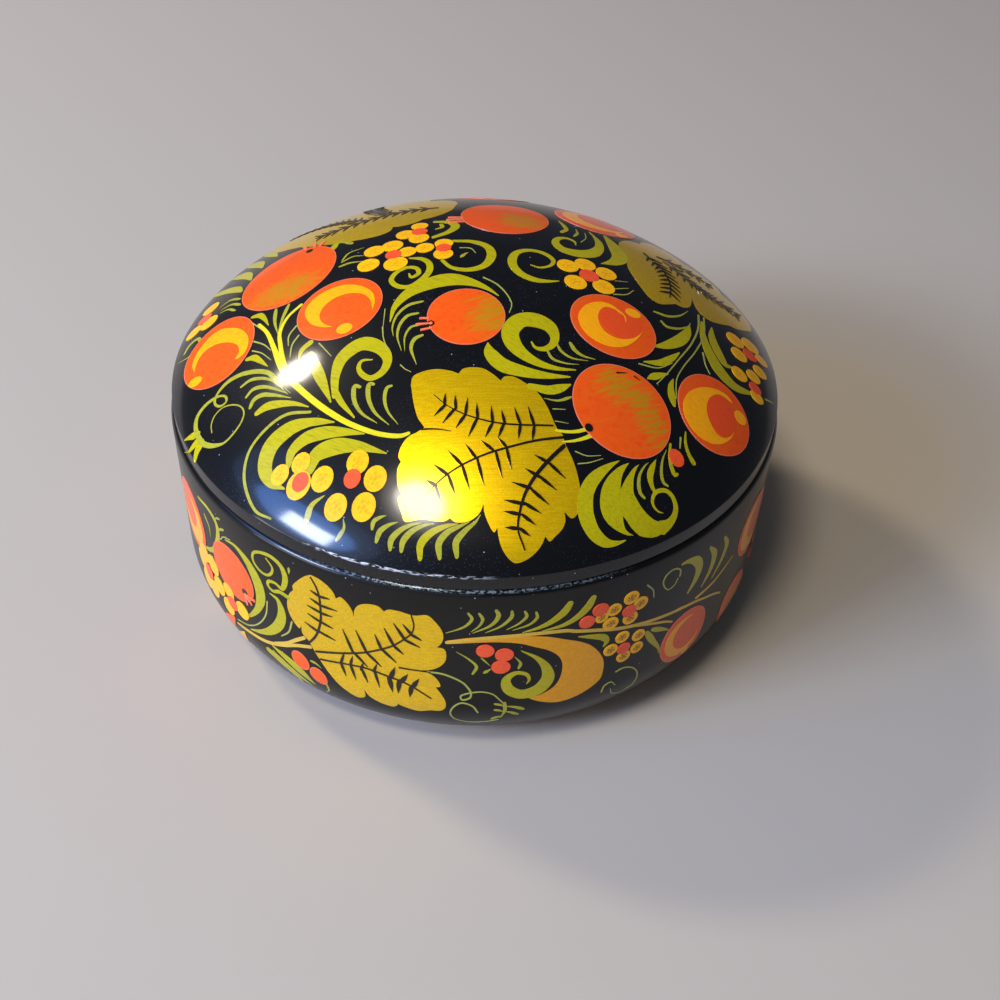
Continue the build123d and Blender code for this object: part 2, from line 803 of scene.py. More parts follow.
class Paint(Enum):
    """The pots of paint, in the order that they are laid on, each named for what it paints."""

    LEAVES = "gold_leaves"
    COMMAS = "gold_commas"
    SCROLLS = "scrolls"
    FRONDS = "fronds"
    HAIRS = "hairlines"
    STEMS = "stems"
    BRANCHES = "branches"
    RIMS = "berry_rims"
    BERRIES = "berries"
    FRUIT = "small_fruit"
    DABS = "fruit_dabs"
    DISCS = "berry_discs"
    CRESCENTS = "crescents"
    VEINS = "leaf_veins"
    HEARTS = "red_fruit"
    EYES = "fruit_eyes"
    MARKS = "dark_marks"
    TIPS = "crown_tips"


HEAD_SHARE = 0.3
FIRST_LIFT = 0.03
LIFT_STEP = 0.009
STAGGER = 0.0011
STAGGERED = 7
SUNK = 0.02


@dataclass
class Painter:
    """Lays flat brush shapes on a turned surface as thin closed films, one piece for each paint."""

    surface: Surface
    body: str
    prefix: str
    cell: float = 1.0
    stretch: float = 1.0
    finishes: dict[Paint, bpy.types.Material] = field(default_factory=dict)
    sheets: dict[Paint, bmesh.types.BMesh] = field(default_factory=dict)
    laid: int = 0
    shades: list[tuple[float, float, float, float, float]] = field(default_factory=list)
    shift: float = 0.0
    window: tuple[float, float] = (-math.inf, math.inf)

    def flat(self, place: Sequence[float]) -> tuple[float, ...]:
        """A drawn place in the surface's own flat millimetres, with any width kept."""
        return ((place[0] + self.shift) * self.stretch, *place[1:])

    def shown(self, places: Sequence[Sequence[float]]) -> bool:
        """True where all of a shape is inside the window of this repeat."""
        return all(self.window[0] <= p[0] <= self.window[1] for p in places)

    def stroke(self, paint: Paint, points: Sequence[Brush]) -> None:
        """One pull of the brush: a ribbon with round ends along a smooth line.

        Args:
            paint: the pot of paint.
            points: place and brush width at each point, in mm.
        """
        if not self.shown(points):
            return
        line = smooth_line([self.flat(p) for p in points], 0.32)
        rows = [(x, y, max(w, 0.06)) for x, y, w in line]
        rows = self.round_end(rows[::-1])[::-1]
        rows = self.round_end(rows)
        bm = bmesh.new()
        for i, (x, y, width) in enumerate(rows):
            ahead, behind = rows[min(i + 1, len(rows) - 1)], rows[max(i - 1, 0)]
            course = Vector((ahead[0] - behind[0], ahead[1] - behind[1])).normalized()
            side = Vector((-course.y, course.x)) * width / 2
            cross = [(x + side.x * k, y + side.y * k, 0) for k in (-1, 0, 1)]
            if i == 0:
                verts = [bm.verts.new(place) for place in cross]
                edges = [bm.edges.new(pair) for pair in zip(verts, verts[1:])]
                continue
            pulled = bmesh.ops.extrude_edge_only(bm, edges=edges)["geom"]
            edges = [e for e in pulled if isinstance(e, bmesh.types.BMEdge)]
            moved = {v for v in pulled if isinstance(v, bmesh.types.BMVert)}
            verts = [next(e.other_vert(v) for e in v.link_edges if e.other_vert(v) in moved and e not in edges) for v in verts]
            for vert, place in zip(verts, cross):
                vert.co = place
        self.lay(bm, paint)

    @staticmethod
    def round_end(rows: list[Brush]) -> list[Brush]:
        """Round the last end of a stroke: the width closes to a point over half a width.

        Args:
            rows: place and width along the stroke.

        Returns:
            The same rows with the end rounded.
        """
        (x, y, width), (back_x, back_y, _) = rows[-1], rows[-2]
        course = Vector((x - back_x, y - back_y)).normalized()
        capped = list(rows)
        for share in (0.5, 0.87, 0.99):
            reach = width / 2 * share
            capped.append((x + course.x * reach, y + course.y * reach, width * math.sqrt(1 - share**2)))
        return capped

    def pull(
        self, paint: Paint, width: float, points: Sequence[Point], tail: float = 0.25, head: float = 1.0
    ) -> None:
        """A simple stroke that swells near its head and thins towards its end.

        Args:
            paint: the pot of paint.
            width: the brush's width where it is widest.
            points: the stroke's places.
            tail: share of the width that is left at the end.
            head: share of the width at the start.
        """
        line = smooth_line(points, 0.5)
        last = len(line) - 1
        swollen = []
        for i, place in enumerate(line):
            share = i / last
            swell = head + (1 - head) * math.sin(min(share / HEAD_SHARE, 1.0) * math.pi / 2)
            swollen.append((*place, width * swell * (1 - (1 - tail) * share**1.4)))
        self.stroke(paint, swollen)

    def patch(self, paint: Paint, outline: Sequence[Point]) -> None:
        """A filled shape.

        Args:
            paint: the pot of paint.
            outline: the shape's points, once round.
        """
        if not self.shown(outline):
            return
        bm = bmesh.new()
        bm.faces.new([bm.verts.new((*self.flat(p), 0)) for p in outline])
        self.lay(bm, paint)

    def ticks(self, places: Sequence[tuple[float, float, float, float]], width: float | None = None) -> None:
        """Short wedges beside a rib.

        Args:
            places: the tip and the root of each.
            width: how broad they are, in mm.
        """
        width = width or TICK_WIDTH
        for x, y, root_x, root_y in places:
            middle = (x * 0.36 + root_x * 0.64, y * 0.36 + root_y * 0.64, width)
            root = (root_x * 1.05 - x * 0.05, root_y * 1.05 - y * 0.05, 0.75 * width)
            self.stroke(Paint.VEINS, ((x, y, 0.05), middle, root))

    def blob(self, paint: Paint, x: float, y: float, wide: float, tall: float | None = None, turn: float = 0.0) -> None:
        """A filled oval.

        Args:
            paint: the pot of paint.
            x: the centre's first coordinate.
            y: the centre's second coordinate.
            wide: half width in mm.
            tall: half height in mm, as wide if left out.
            turn: degrees that it is turned to the left.
        """
        if not self.shown([(x, y)]):
            return
        bm = bmesh.new()
        tall = tall or wide
        sides = min(72, max(8, round(wide * 9)))
        placed = (
            Matrix.Translation((*self.flat((x, y)), 0))
            @ Matrix.Rotation(math.radians(turn), 4, "Z")
            @ Matrix.Diagonal((wide, tall, 1, 1))
        )
        bmesh.ops.create_circle(bm, cap_ends=True, segments=sides, radius=1.0, matrix=placed)
        self.lay(bm, paint)

    def stipple(self, paint: Paint, x: float, y: float, radius: float) -> None:
        """A few small dabs on a fruit of the given radius, turned a new way on each."""
        turn = Matrix.Rotation(DAB_PRECESSION * (x + y), 2)
        for across, up, size in FRUIT_DABS:
            place = turn @ Vector((across, up)) * radius
            wide = size * radius
            self.blob(paint, x + place.x, y + place.y, wide, wide * DAB_FLATNESS, DAB_TURN)

    def crescent(self, paint: Paint, outer: tuple[float, float, float], inner: tuple[float, float, float]) -> None:
        """The part of one circle that lies outside another.

        Args:
            paint: the pot of paint.
            outer: centre and radius of the full circle, in mm.
            inner: centre and radius of the circle that is left out.
        """
        if not self.shown([outer]):
            return
        (ax, ay, big), (bx, by, small) = ((*self.flat(c[:2]), c[2]) for c in (outer, inner))
        gap = math.dist((ax, ay), (bx, by))
        along = (gap**2 + big**2 - small**2) / (2 * gap)
        half = math.sqrt(big**2 - along**2)
        aim = math.atan2(by - ay, bx - ax)
        open_big = math.atan2(half, along)
        open_small = math.atan2(half, along - gap)
        count = 40
        rows = []
        for i in range(1, count):
            share = i / count
            a = aim + open_big + (math.tau - 2 * open_big) * share
            b = aim + open_small + (math.tau - 2 * open_small) * share
            p = Vector((ax + big * math.cos(a), ay + big * math.sin(a)))
            q = Vector((bx + small * math.cos(b), by + small * math.sin(b)))
            rows.append((p, q))
        bm = bmesh.new()
        ring = [p for p, _ in rows] + [q for _, q in reversed(rows)]
        bm.faces.new([bm.verts.new((*p, 0)) for p in ring])
        self.lay(bm, paint)

    def lay(self, bm: bmesh.types.BMesh, paint: Paint) -> None:
        """Cut a flat shape into cells, lay it on the surface and give it its thickness.

        Args:
            bm: the flat shape in mm.
            paint: the pot of paint.
        """
        if len(bm.faces) == 1:
            for axis in (0, 1):
                spread = [v.co[axis] for v in bm.verts]
                normal = Vector((1 - axis, axis, 0))
                for k in range(math.ceil(min(spread) / self.cell), math.floor(max(spread) / self.cell) + 1):
                    everything = bm.verts[:] + bm.edges[:] + bm.faces[:]
                    bmesh.ops.bisect_plane(
                        bm, geom=everything, plane_co=normal * k * self.cell, plane_no=normal
                    )
            bmesh.ops.triangulate(bm, faces=bm.faces[:])
        lift = FIRST_LIFT + LIFT_STEP * list(Paint).index(paint) + STAGGER * (self.laid % STAGGERED)
        self.laid += 1
        raised = bmesh.ops.extrude_face_region(bm, geom=bm.faces[:], use_keep_orig=True)["geom"]
        upper = [v for v in raised if isinstance(v, bmesh.types.BMVert)]
        bmesh.ops.translate(bm, verts=upper, vec=(0, 0, 1))
        bmesh.ops.recalc_face_normals(bm, faces=bm.faces[:])
        for vert in bm.verts:
            vert.co = self.surface.point(vert.co.x, vert.co.y, lift if vert.co.z > 0.5 else -SUNK)
        sheet = bpy.data.meshes.new("sheet")
        bm.to_mesh(sheet)
        bm.free()
        self.sheets.setdefault(paint, bmesh.new()).from_mesh(sheet)
        bpy.data.meshes.remove(sheet)

    def finish(self) -> list[bpy.types.Object]:
        """Make one piece of each paint's films."""
        pieces = []
        for paint in Paint:
            if paint not in self.sheets:
                continue
            name = f"{self.prefix}_{paint.value}"
            pieces.append(
                make_piece(self.sheets[paint], name, self.body, [self.finishes[paint]])
            )
        return pieces

    def brush_olive(self, piece: bpy.types.Object, attribute: str, places: Sequence[Point]) -> None:
        """Record on a berry piece how much olive was dragged over each point.

        Args:
            piece: the berries.
            attribute: the attribute's name.
            places: each vertex's place in the flat drawing.
        """
        layer = piece.data.attributes.new(attribute, "FLOAT", "POINT")
        for i, (x, y) in enumerate(places):
            best = 0.0
            for cx, cy, wide, tall, turn in self.shades:
                c, s = math.cos(math.radians(turn)), math.sin(math.radians(turn))
                dx, dy = x - cx, y - cy
                away = math.hypot((dx * c + dy * s) / wide, (dy * c - dx * s) / tall)
                best = max(best, 1.0 - away * away)
            layer.data[i].value = max(0.0, best)


def herringbone(rib: Sequence[Point]) -> list[tuple[float, float, float, float]]:
    """Ticks on both sides of a rib, each a tip and the root on the rib.

    Args:
        rib: the rib's points, from its root to its tip.

    Returns:
        The ticks.
    """
    line = smooth_line(rib, TICK_SPACING)
    made = []
    for here, after in zip(line[1:], line[2:]):
        course = (Vector(after) - Vector(here)).normalized()
        for side in (-1, 1):
            lean = Matrix.Rotation(side * TICK_LEAN, 2) @ course
            tip = Vector(here) + lean * TICK_LENGTH
            made.append((*tip, *here))
    return made


FRUIT_DABS: tuple[tuple[float, float, float], ...] = (
    (-0.36, 0.2, 0.15), (0.04, 0.38, 0.17), (0.4, 0.06, 0.14), (0.1, -0.36, 0.16), (-0.02, 0, 0.22),
    (-0.34, -0.2, 0.12),
)
DAB_FLATNESS = 0.62
DAB_TURN = 35.0
DAB_PRECESSION = 2.4
THIN_PULL = 1.3
HAIR_SHARE = 0.6
BAND_FROND_SHARE = 0.88
RIM = 0.07
TICK_SPACING = 2.2
TICK_LENGTH = 2.7
TICK_LEAN = math.radians(52)
TICK_WIDTH = 0.56
BROAD_TICK = 0.95

LEAF_LOBES: Outline = (
    ((-9.8, -36.4), (-10.4, -34.7)),
    ((-10.8, -33), (-11.1, -31.2), (-11.3, -30.2)),
    ((-11, -28.6), (-9.5, -27.8), (-7, -27.4), (-4.5, -27.8), (-3, -28.4)),
    ((-2.2, -27.4), (1, -27.2), (3, -28.3), (4.4, -29.5)),
    ((5, -28.7), (6.5, -28.5), (9, -29.7), (11, -31.2), (12.5, -33.3), (13.6, -35.6), (14.3, -37)),
    ((15.2, -37.8), (15.6, -38.9)),
    ((16, -39.8), (17.2, -42), (18, -44.2), (18.5, -47), (18.2, -49.3), (17, -50.5), (15.7, -49.8)),
    ((15.9, -51), (15.4, -52.2), (14.2, -53.4), (13.2, -54.2), (12.5, -53.6)),
    ((11.9, -54.8), (10.5, -56.2), (8.6, -57.2), (7.2, -57.4), (5.8, -56.6), (4.9, -55.4), (4.5, -54.2),
     (4.3, -53.2)),
    ((3.8, -53.9), (2.6, -52.4), (2, -51), (1.9, -50.1)),
    ((1.2, -51.4), (-0.2, -52.4), (-1.8, -52.7), (-3, -52.6), (-3.7, -52.1)),
    ((-4.6, -52.5), (-6, -52.5), (-8.5, -52.1), (-11.4, -52.2), (-11.9, -51.2), (-12.7, -48.8), (-12, -48.4)),
    ((-12.7, -47.3), (-13, -45.5), (-12.9, -44.2), (-12.4, -43.4)),
    ((-12.9, -42.6), (-12.7, -41.4), (-12.1, -40.3), (-11.2, -39.4), (-9.8, -38.8), (-8.6, -38.1)),
)
LEAF_CREASE: tuple[Point, ...] = ((-9.2, -38.4), (-6.5, -38.5), (-4, -38.9))
LEAF_RIBS: tuple[tuple[float, tuple[Point, ...]], ...] = (
    (0.3, ((13.5, -36.7), (8, -37.3), (4, -37.3), (0.5, -36.7), (-2.5, -35.7), (-5, -34.3), (-7.2, -32.4))),
    (0.4, ((15.3, -38.4), (10.8, -39.6), (6, -41.2), (2, -42.6), (-2, -44.4), (-5, -46.2), (-8, -48.7))),
    (0.66, ((15.5, -39.8), (13, -42.4), (10.5, -45.4), (8.8, -48.3), (8, -51), (7.8, -53.2), (9, -55.7))),
)
LEAF_TICKS: tuple[tuple[float, float, float, float], ...] = (
    (-5.2, -32.2, -5.3, -34.2), (-3.5, -32.6, -3.3, -34.9), (-1.3, -33.1, -1.6, -36), (0.3, -34, 0.5, -36.6),
    (2.8, -34.4, 3.1, -37.2), (4.6, -35, 5.2, -37.2), (6.8, -34.3, 7.9, -37.2), (9.2, -33.9, 10.3, -37.1),
    (-7, -36.2, -5.2, -34.4), (-5.5, -37.5, -3.6, -35.2), (-3.2, -38.4, -1.7, -36.2), (-1, -39.8, 0.3, -37),
    (1.9, -39.8, 3, -37.6), (4.1, -39.8, 5, -37.5), (7.6, -39.7, 7.9, -37.3), (10, -39.8, 10.3, -37.4),
    (4.1, -39.8, 5.5, -41.1), (1.2, -40.4, 3.2, -41.8), (-1.5, -41, 0.4, -43.2), (-4.4, -42.1, -2, -44.3),
    (-6.8, -44.2, -4.4, -45.8), (-8, -46.5, -6.3, -47.4), (6.5, -44.7, 5.6, -41.4), (5, -46.2, 3.8, -42.2),
    (1.9, -47.4, 0.7, -43.6), (-0.5, -48.1, -1.8, -44.7), (-2.9, -48.9, -4.1, -46.2), (-5.2, -50.2, -6.2, -47.8),
    (10.4, -42, 12.8, -42.9), (8.8, -44.3, 11.2, -45.3), (6.6, -46.6, 9.8, -47.2), (5.3, -49.3, 8.6, -49.6),
    (5.3, -50.9, 8, -51.1), (5.6, -53.1, 7.8, -53.1), (15.8, -44.9, 13, -43), (14.3, -46.9, 11.4, -45.3),
    (13, -49.2, 10.2, -47.5), (11.7, -50.6, 8.9, -49.5), (10.8, -52.3, 8.6, -51.2), (9.9, -53.9, 8.2, -53.1),
)

BACK_LEAVES: tuple[tuple[Outline, tuple[tuple[Point, ...], ...]], ...] = (
    (
        (
            ((-41.3, 24.2), (-38.5, 22), (-36.2, 20.4)),
            ((-34.6, 18.6), (-32.4, 17.2), (-30.6, 16)),
            ((-28.8, 15), (-25.6, 14.2), (-22.6, 13.7), (-19.6, 13.9), (-17.6, 15.2), (-17, 17.4)),
            ((-15.4, 17.2), (-12.8, 18.1), (-11.2, 19.8)),
            ((-9.4, 20.6), (-7.2, 22.6), (-5.6, 25.3), (-5, 28.5)),
            ((-4.6, 31.5), (-5.6, 34.6), (-8.2, 36.6), (-10.6, 36.6)),
            ((-10.4, 40.4), (-12.4, 44.2), (-16.2, 46.6), (-19.4, 46.8)),
            ((-22, 49.2), (-26.4, 49.4), (-30.4, 46.8), (-31.6, 44)),
            ((-35.6, 43.6), (-39.4, 40.8), (-41.4, 37), (-41, 34.4)),
            ((-43.8, 32.6), (-44.4, 29.6), (-43, 27)),
        ),
        (
            ((-8.5, 27.4), (-12.5, 27.2), (-16.5, 26.6), (-20.5, 25.6), (-24.5, 24.4), (-28.5, 23), (-33, 22.2)),
            ((-18, 26.6), (-20.5, 30.5), (-22, 35), (-22.6, 40), (-22.4, 45)),
            ((-23, 25.2), (-27, 29), (-31, 32), (-36, 34.4), (-39.5, 35.4)),
        ),
    ),
    (
        (
            ((28.9, 8.6), (29.7, 5.4), (31, 2.2), (32.6, -0.6), (34.4, -1.5), (36.4, -0.4), (38, 0.9)),
            ((39.6, 1), (41, 2.4), (41.9, 6.2)),
            ((42.3, 4), (43.3, 1.9), (45, 1.3), (47.4, 2.4), (49.6, 4.2)),
            ((51.4, 5), (53.4, 7), (55.2, 9.4), (55.4, 11.6)),
            ((55.2, 14.2), (53, 17.6), (50, 19.4)),
            ((49.4, 22.4), (46, 25.6), (42, 26.6)),
            ((40, 29.4), (36.4, 29.8), (33.6, 27.4), (32.8, 24.6)),
            ((30, 23), (28, 19.4), (28, 15.6), (29.2, 11.5)),
        ),
        (
            ((33, 18.5), (35, 15.5), (36.5, 12.9), (37.3, 9.5), (37.4, 6), (36.9, 2.4)),
            ((37.2, 18.6), (40, 16.2), (42.4, 13.8), (44.6, 12.5), (47, 12.2), (50, 12.6), (53, 12)),
            ((36, 20), (40, 20.6), (44, 20.4), (48, 19.4)),
        ),
    ),
)

LID_STEMS: tuple[tuple[Brush, ...], ...] = (
    ((-34.5, -22, 1.04), (-33, -24.5, 1.12), (-30.6, -27.6, 1.04), (-27, -31.5, 1.04), (-22, -35.6, 0.88),
     (-16.5, -38.4, 0.8), (-12.6, -39.2, 0.72), (-11.3, -38.9, 0.56)),
    ((-41, -7, 0.64), (-39, -10.5, 0.72), (-37.3, -15, 0.88), (-35.3, -20.5, 1.12), (-33, -24.5, 0.96)),
    ((-33, -5.8, 0.72), (-35.3, -8.2, 0.64), (-36.4, -11.8, 0.72), (-36, -15, 0.8), (-34.7, -20.5, 0.96),
     (-32.5, -25, 0.8)),
    ((20.4, -37, 0.72), (18.9, -37.9, 0.56), (17, -38.7, 0.4), (15.4, -39.1, 0.24)),
    ((19.4, -36.2, 0.64), (17.8, -36.9, 0.56), (16, -37.3, 0.48), (14.2, -37.4, 0.4)),
)

LID_SCROLLS: tuple[tuple[Brush, ...], ...] = (
    ((-32.8, -43.6, 0.3), (-35.2, -42, 1.4), (-36.6, -39, 2.6), (-35.8, -35.8, 3.2), (-32.6, -33.9, 2.8),
     (-29, -33.8, 1.6), (-27, -34.2, 1.2), (-24.5, -34.9, 0.2)),
    ((-32.3, -40.2, 0.9), (-31.8, -38, 1.8), (-29.5, -36.5, 2.3), (-26, -36.4, 2.2), (-22.3, -37.1, 1.3),
     (-19, -38, 0.2)),
    ((-28.4, -41.8, 1.8), (-27.3, -39.8, 2.6), (-24.5, -39.2, 2.9), (-20.5, -39.8, 1.9),
     (-15, -41.8, 0.2)),
    ((-30, -20, 1.6), (-27.9, -25, 2), (-25.4, -31, 0.3)),
    ((-24.7, -30, 1.1), (-24.9, -26, 1.7), (-23.8, -22.3, 2.6), (-20.4, -20.2, 3), (-17.2, -21.8, 2.4),
     (-15.7, -24.5, 1.7), (-16.4, -26.9, 1.4), (-18.4, -27.9, 1.1), (-20.1, -26.8, 1),
     (-20.8, -25.2, 0.8), (-20.3, -24, 0.6), (-18.4, -24.1, 0.2)),
    ((-24.8, -29, 1.1), (-23.5, -31.5, 1), (-21, -34.8, 0.3)),
    ((-12.9, -3, 0.3), (-12.4, -4.2, 0.7), (-11.1, -3.2, 0.9), (-11.6, -1.4, 0.9), (-13.3, -0.9, 0.9),
     (-15.3, -2.2, 1), (-16.1, -4.5, 1), (-14.8, -6.5, 1.1), (-12.6, -7, 1.1), (-10.4, -5.2, 1.3),
     (-9.1, -2.5, 1.3), (-9.4, 0.2, 1.2), (-10.8, 1.7, 1), (-13, 2.3, 0.4)),
    ((-15.7, -15.9, 0.2), (-15, -12.2, 1.2), (-12.6, -8.8, 2.4), (-9, -6.6, 3.4), (-5, -5.6, 3.6),
     (-1, -6.6, 2), (1.8, -8.2, 0.9), (3.8, -10, 0.2)),
    ((-5, 8, 0.8), (-1, 7.6, 1.2), (1.6, 5.8, 1.6), (2.4, 2.5, 1.8), (1, -1.2, 1.5), (-2, -2.6, 1.2),
     (-5, -1.8, 0.9), (-6.8, 0.6, 0.7)),
    ((-8.8, 17.7, 0.8), (-5.8, 17, 1.5), (-4.7, 14.7, 1.8), (-6, 12, 1.4), (-8.7, 10, 1)),
    ((-7.5, 16, 0.8), (-7.3, 14.5, 0.8), (-8.5, 13.7, 0.3)),
    ((15, -3.6, 0.3), (13, -4.2, 0.8), (10.5, -4.3, 1.4), (8, -3, 1.6), (6.5, -0.5, 1.7), (6.4, 2.2, 1.7),
     (7.5, 4.6, 1.3), (10, 5.8, 1), (12.6, 5.2, 1), (14.1, 3.3, 0.9), (13.6, 1.2, 0.7), (11.5, -0.1, 0.5),
     (9.8, 0.4, 0.2)),
    ((17.7, -25.3, 0.2), (14.5, -25.7, 0.8), (11.5, -25.3, 1.4), (8.5, -23.8, 2.2), (6.5, -21.5, 3),
     (6, -18.8, 3.2), (7.8, -16, 3.3), (10.5, -15.5, 3.5), (13, -16.6, 2.8), (14, -18.9, 1.7),
     (13.5, -20.8, 1.3), (12, -22, 1), (10.5, -21.9, 0.6), (9.8, -20.8, 0.3)),
    ((2, -21.8, 0.2), (2.4, -23.8, 2.2), (4.5, -26.2, 2.8), (8.5, -27.3, 2.2), (12.5, -27.5, 1.3),
     (16.6, -27, 0.3)),
    ((16.7, -28.5, 0.3), (15, -29.5, 1.5), (12.8, -30.3, 1.7), (9.5, -30, 1)),
    ((18.8, 11.5, 0.2), (18.6, 13, 0.5), (17.2, 13.8, 0.8), (15.4, 12.8, 1.2), (14.8, 10.5, 1.6),
     (16.2, 8.3, 2.2), (19, 7.9, 2.8), (21.8, 9.3, 2.8), (23.4, 12.3, 2), (23.6, 15.5, 1.5),
     (22.8, 18.6, 0.6), (22, 20.5, 0.2)),
    ((23.6, 6.1, 0.2), (26.2, 8.2, 2.2), (27.6, 11.2, 3.3), (27.2, 14.5, 3.2), (26.3, 17.5, 2.2),
     (25.2, 20.8, 0.6)),
    ((16.3, 16.7, 0.9), (17.2, 18.5, 0.9), (16.8, 21, 0.8), (15.9, 23.3, 0.2)),
    ((25.3, -40, 0.1), (23.7, -41.2, 0.8), (21.9, -42.8, 1.6), (20.5, -44.4, 2.1), (19.6, -46.1, 2.4),
     (19.3, -47.7, 2.7), (19.4, -49.3, 2.8), (20, -50.7, 2.7), (21, -51.8, 2.3), (22.5, -52.4, 1.6),
     (23.8, -52.4, 0.9), (25.1, -52, 0.5), (26.5, -51.3, 0.1)),
    ((33, -47.6, 1.7), (34.1, -46.8, 1.2), (34.9, -45.9, 0.95), (35.4, -45, 0.85), (35.6, -44, 0.85),
     (35.4, -43.2, 0.8), (34.8, -42.4, 0.75), (33.9, -42.1, 0.7), (33, -42.3, 0.65), (32, -42.9, 0.6),
     (31.4, -43.8, 0.55), (31.3, -44.8, 0.5), (31.7, -45.4, 0.4), (32.4, -45.7, 0.25), (33.2, -45.6, 0.1)),
    ((32, -37.7, 0.1), (31.3, -39.3, 0.9), (30.9, -40.6, 1.1), (31, -41.7, 0.9), (31.4, -42.6, 0.7),
     (31.9, -43, 0.5)),
    ((37.8, -30.5, 0.2), (37.7, -32.5, 0.5), (38.2, -34.2, 0.65), (39.1, -35.4, 0.9)),
    ((34.8, -34, 0.4), (34.6, -36.2, 0.5), (34.9, -37.9, 0.7), (35.5, -38.9, 0.8), (36, -38.6, 0.4)),
    ((32.4, -14.8, 0.3), (35, -13.2, 1.6), (37.8, -10.3, 2.2), (39.6, -7, 1.6), (40.3, -4.3, 0.3)),
    ((30.5, -19.3, 0.3), (33.5, -18.2, 1.3), (35.8, -16, 1.2), (37.5, -13.7, 0.3)),
    ((31, -22.8, 0.3), (32, -22, 1.3), (33.6, -20.9, 1), (35, -20, 0.2)),
    ((35.9, -20.8, 0.3), (35.4, -22.5, 1), (35.5, -24.8, 1.4), (35.8, -26.3, 0.6)),
    ((43.2, -1, 0.6), (43, -5, 1.3), (43.9, -9.5, 2.2), (46, -13.2, 2.9), (48.5, -14.6, 2.2),
     (51.5, -13.8, 1), (53, -12.8, 0.2)),
    ((45.2, -1, 0.3), (45, -4.5, 1.6), (45.9, -8, 2), (47.2, -10.2, 1.4), (48.5, -9.8, 0.3)),
    ((-46.8, 9.6, 0.6), (-48, 11.8, 1.8), (-50.2, 14.4, 1.9), (-52.4, 16.6, 1.7), (-54.6, 19.4, 0.6)),
    ((-45.4, 13.4, 0.5), (-46.6, 17, 2), (-48.8, 20.6, 2.2), (-51, 23.4, 0.6)),
    ((-43.6, 17.6, 0.5), (-44.6, 20.8, 2.1), (-46.6, 24.6, 2.2), (-48.6, 28, 0.5)),
    ((-41, 21, 0.4), (-42.4, 24.6, 1.8), (-44, 28.6, 1.8), (-45, 32.6, 0.4)),
    ((-30.2, -17, 1.2), (-31.6, -18.2, 1.1), (-32, -20, 0.3)),
)

LID_OUTLINES: tuple[tuple[Brush, ...], ...] = (
    ((-29, -31.9, 0.48), (-33.5, -31, 0.6), (-37, -32.3, 0.6), (-39.8, -35, 0.54), (-40.5, -38.5, 0.54),
     (-39.7, -41.8, 0.48), (-37.8, -45, 0.36), (-35, -47, 0.24)),
    ((-34.6, -25, 0.32), (-37.3, -21.2, 0.8), (-39, -19.9, 0.88), (-41.3, -18.9, 0.96),
     (-43.6, -18.4, 0.96), (-45.8, -18.7, 0.88), (-47.4, -20, 0.55), (-47.9, -21.4, 0.5),
     (-47.6, -22.5, 0.44), (-46.5, -23.4, 0.44), (-45.5, -23.1, 0.44), (-45.7, -21.9, 0.44),
     (-47, -21, 0.44), (-48.4, -20.9, 0.72), (-50, -21.4, 0.8), (-51.2, -22.7, 0.8), (-51.3, -24.7, 0.8),
     (-50.4, -27.2, 0.8), (-49.1, -29.2, 0.8), (-47.1, -30.7, 0.72), (-45, -31.3, 0.44),
     (-43.4, -30.5, 0.39), (-42, -29, 0.33), (-41.6, -27.4, 0.28), (-42.3, -25.8, 0.25),
     (-44, -24.5, 0.25), (-46.1, -24, 0.25), (-47.5, -24.8, 0.25), (-48, -26.3, 0.22), (-47.7, -28, 0.17)),
)

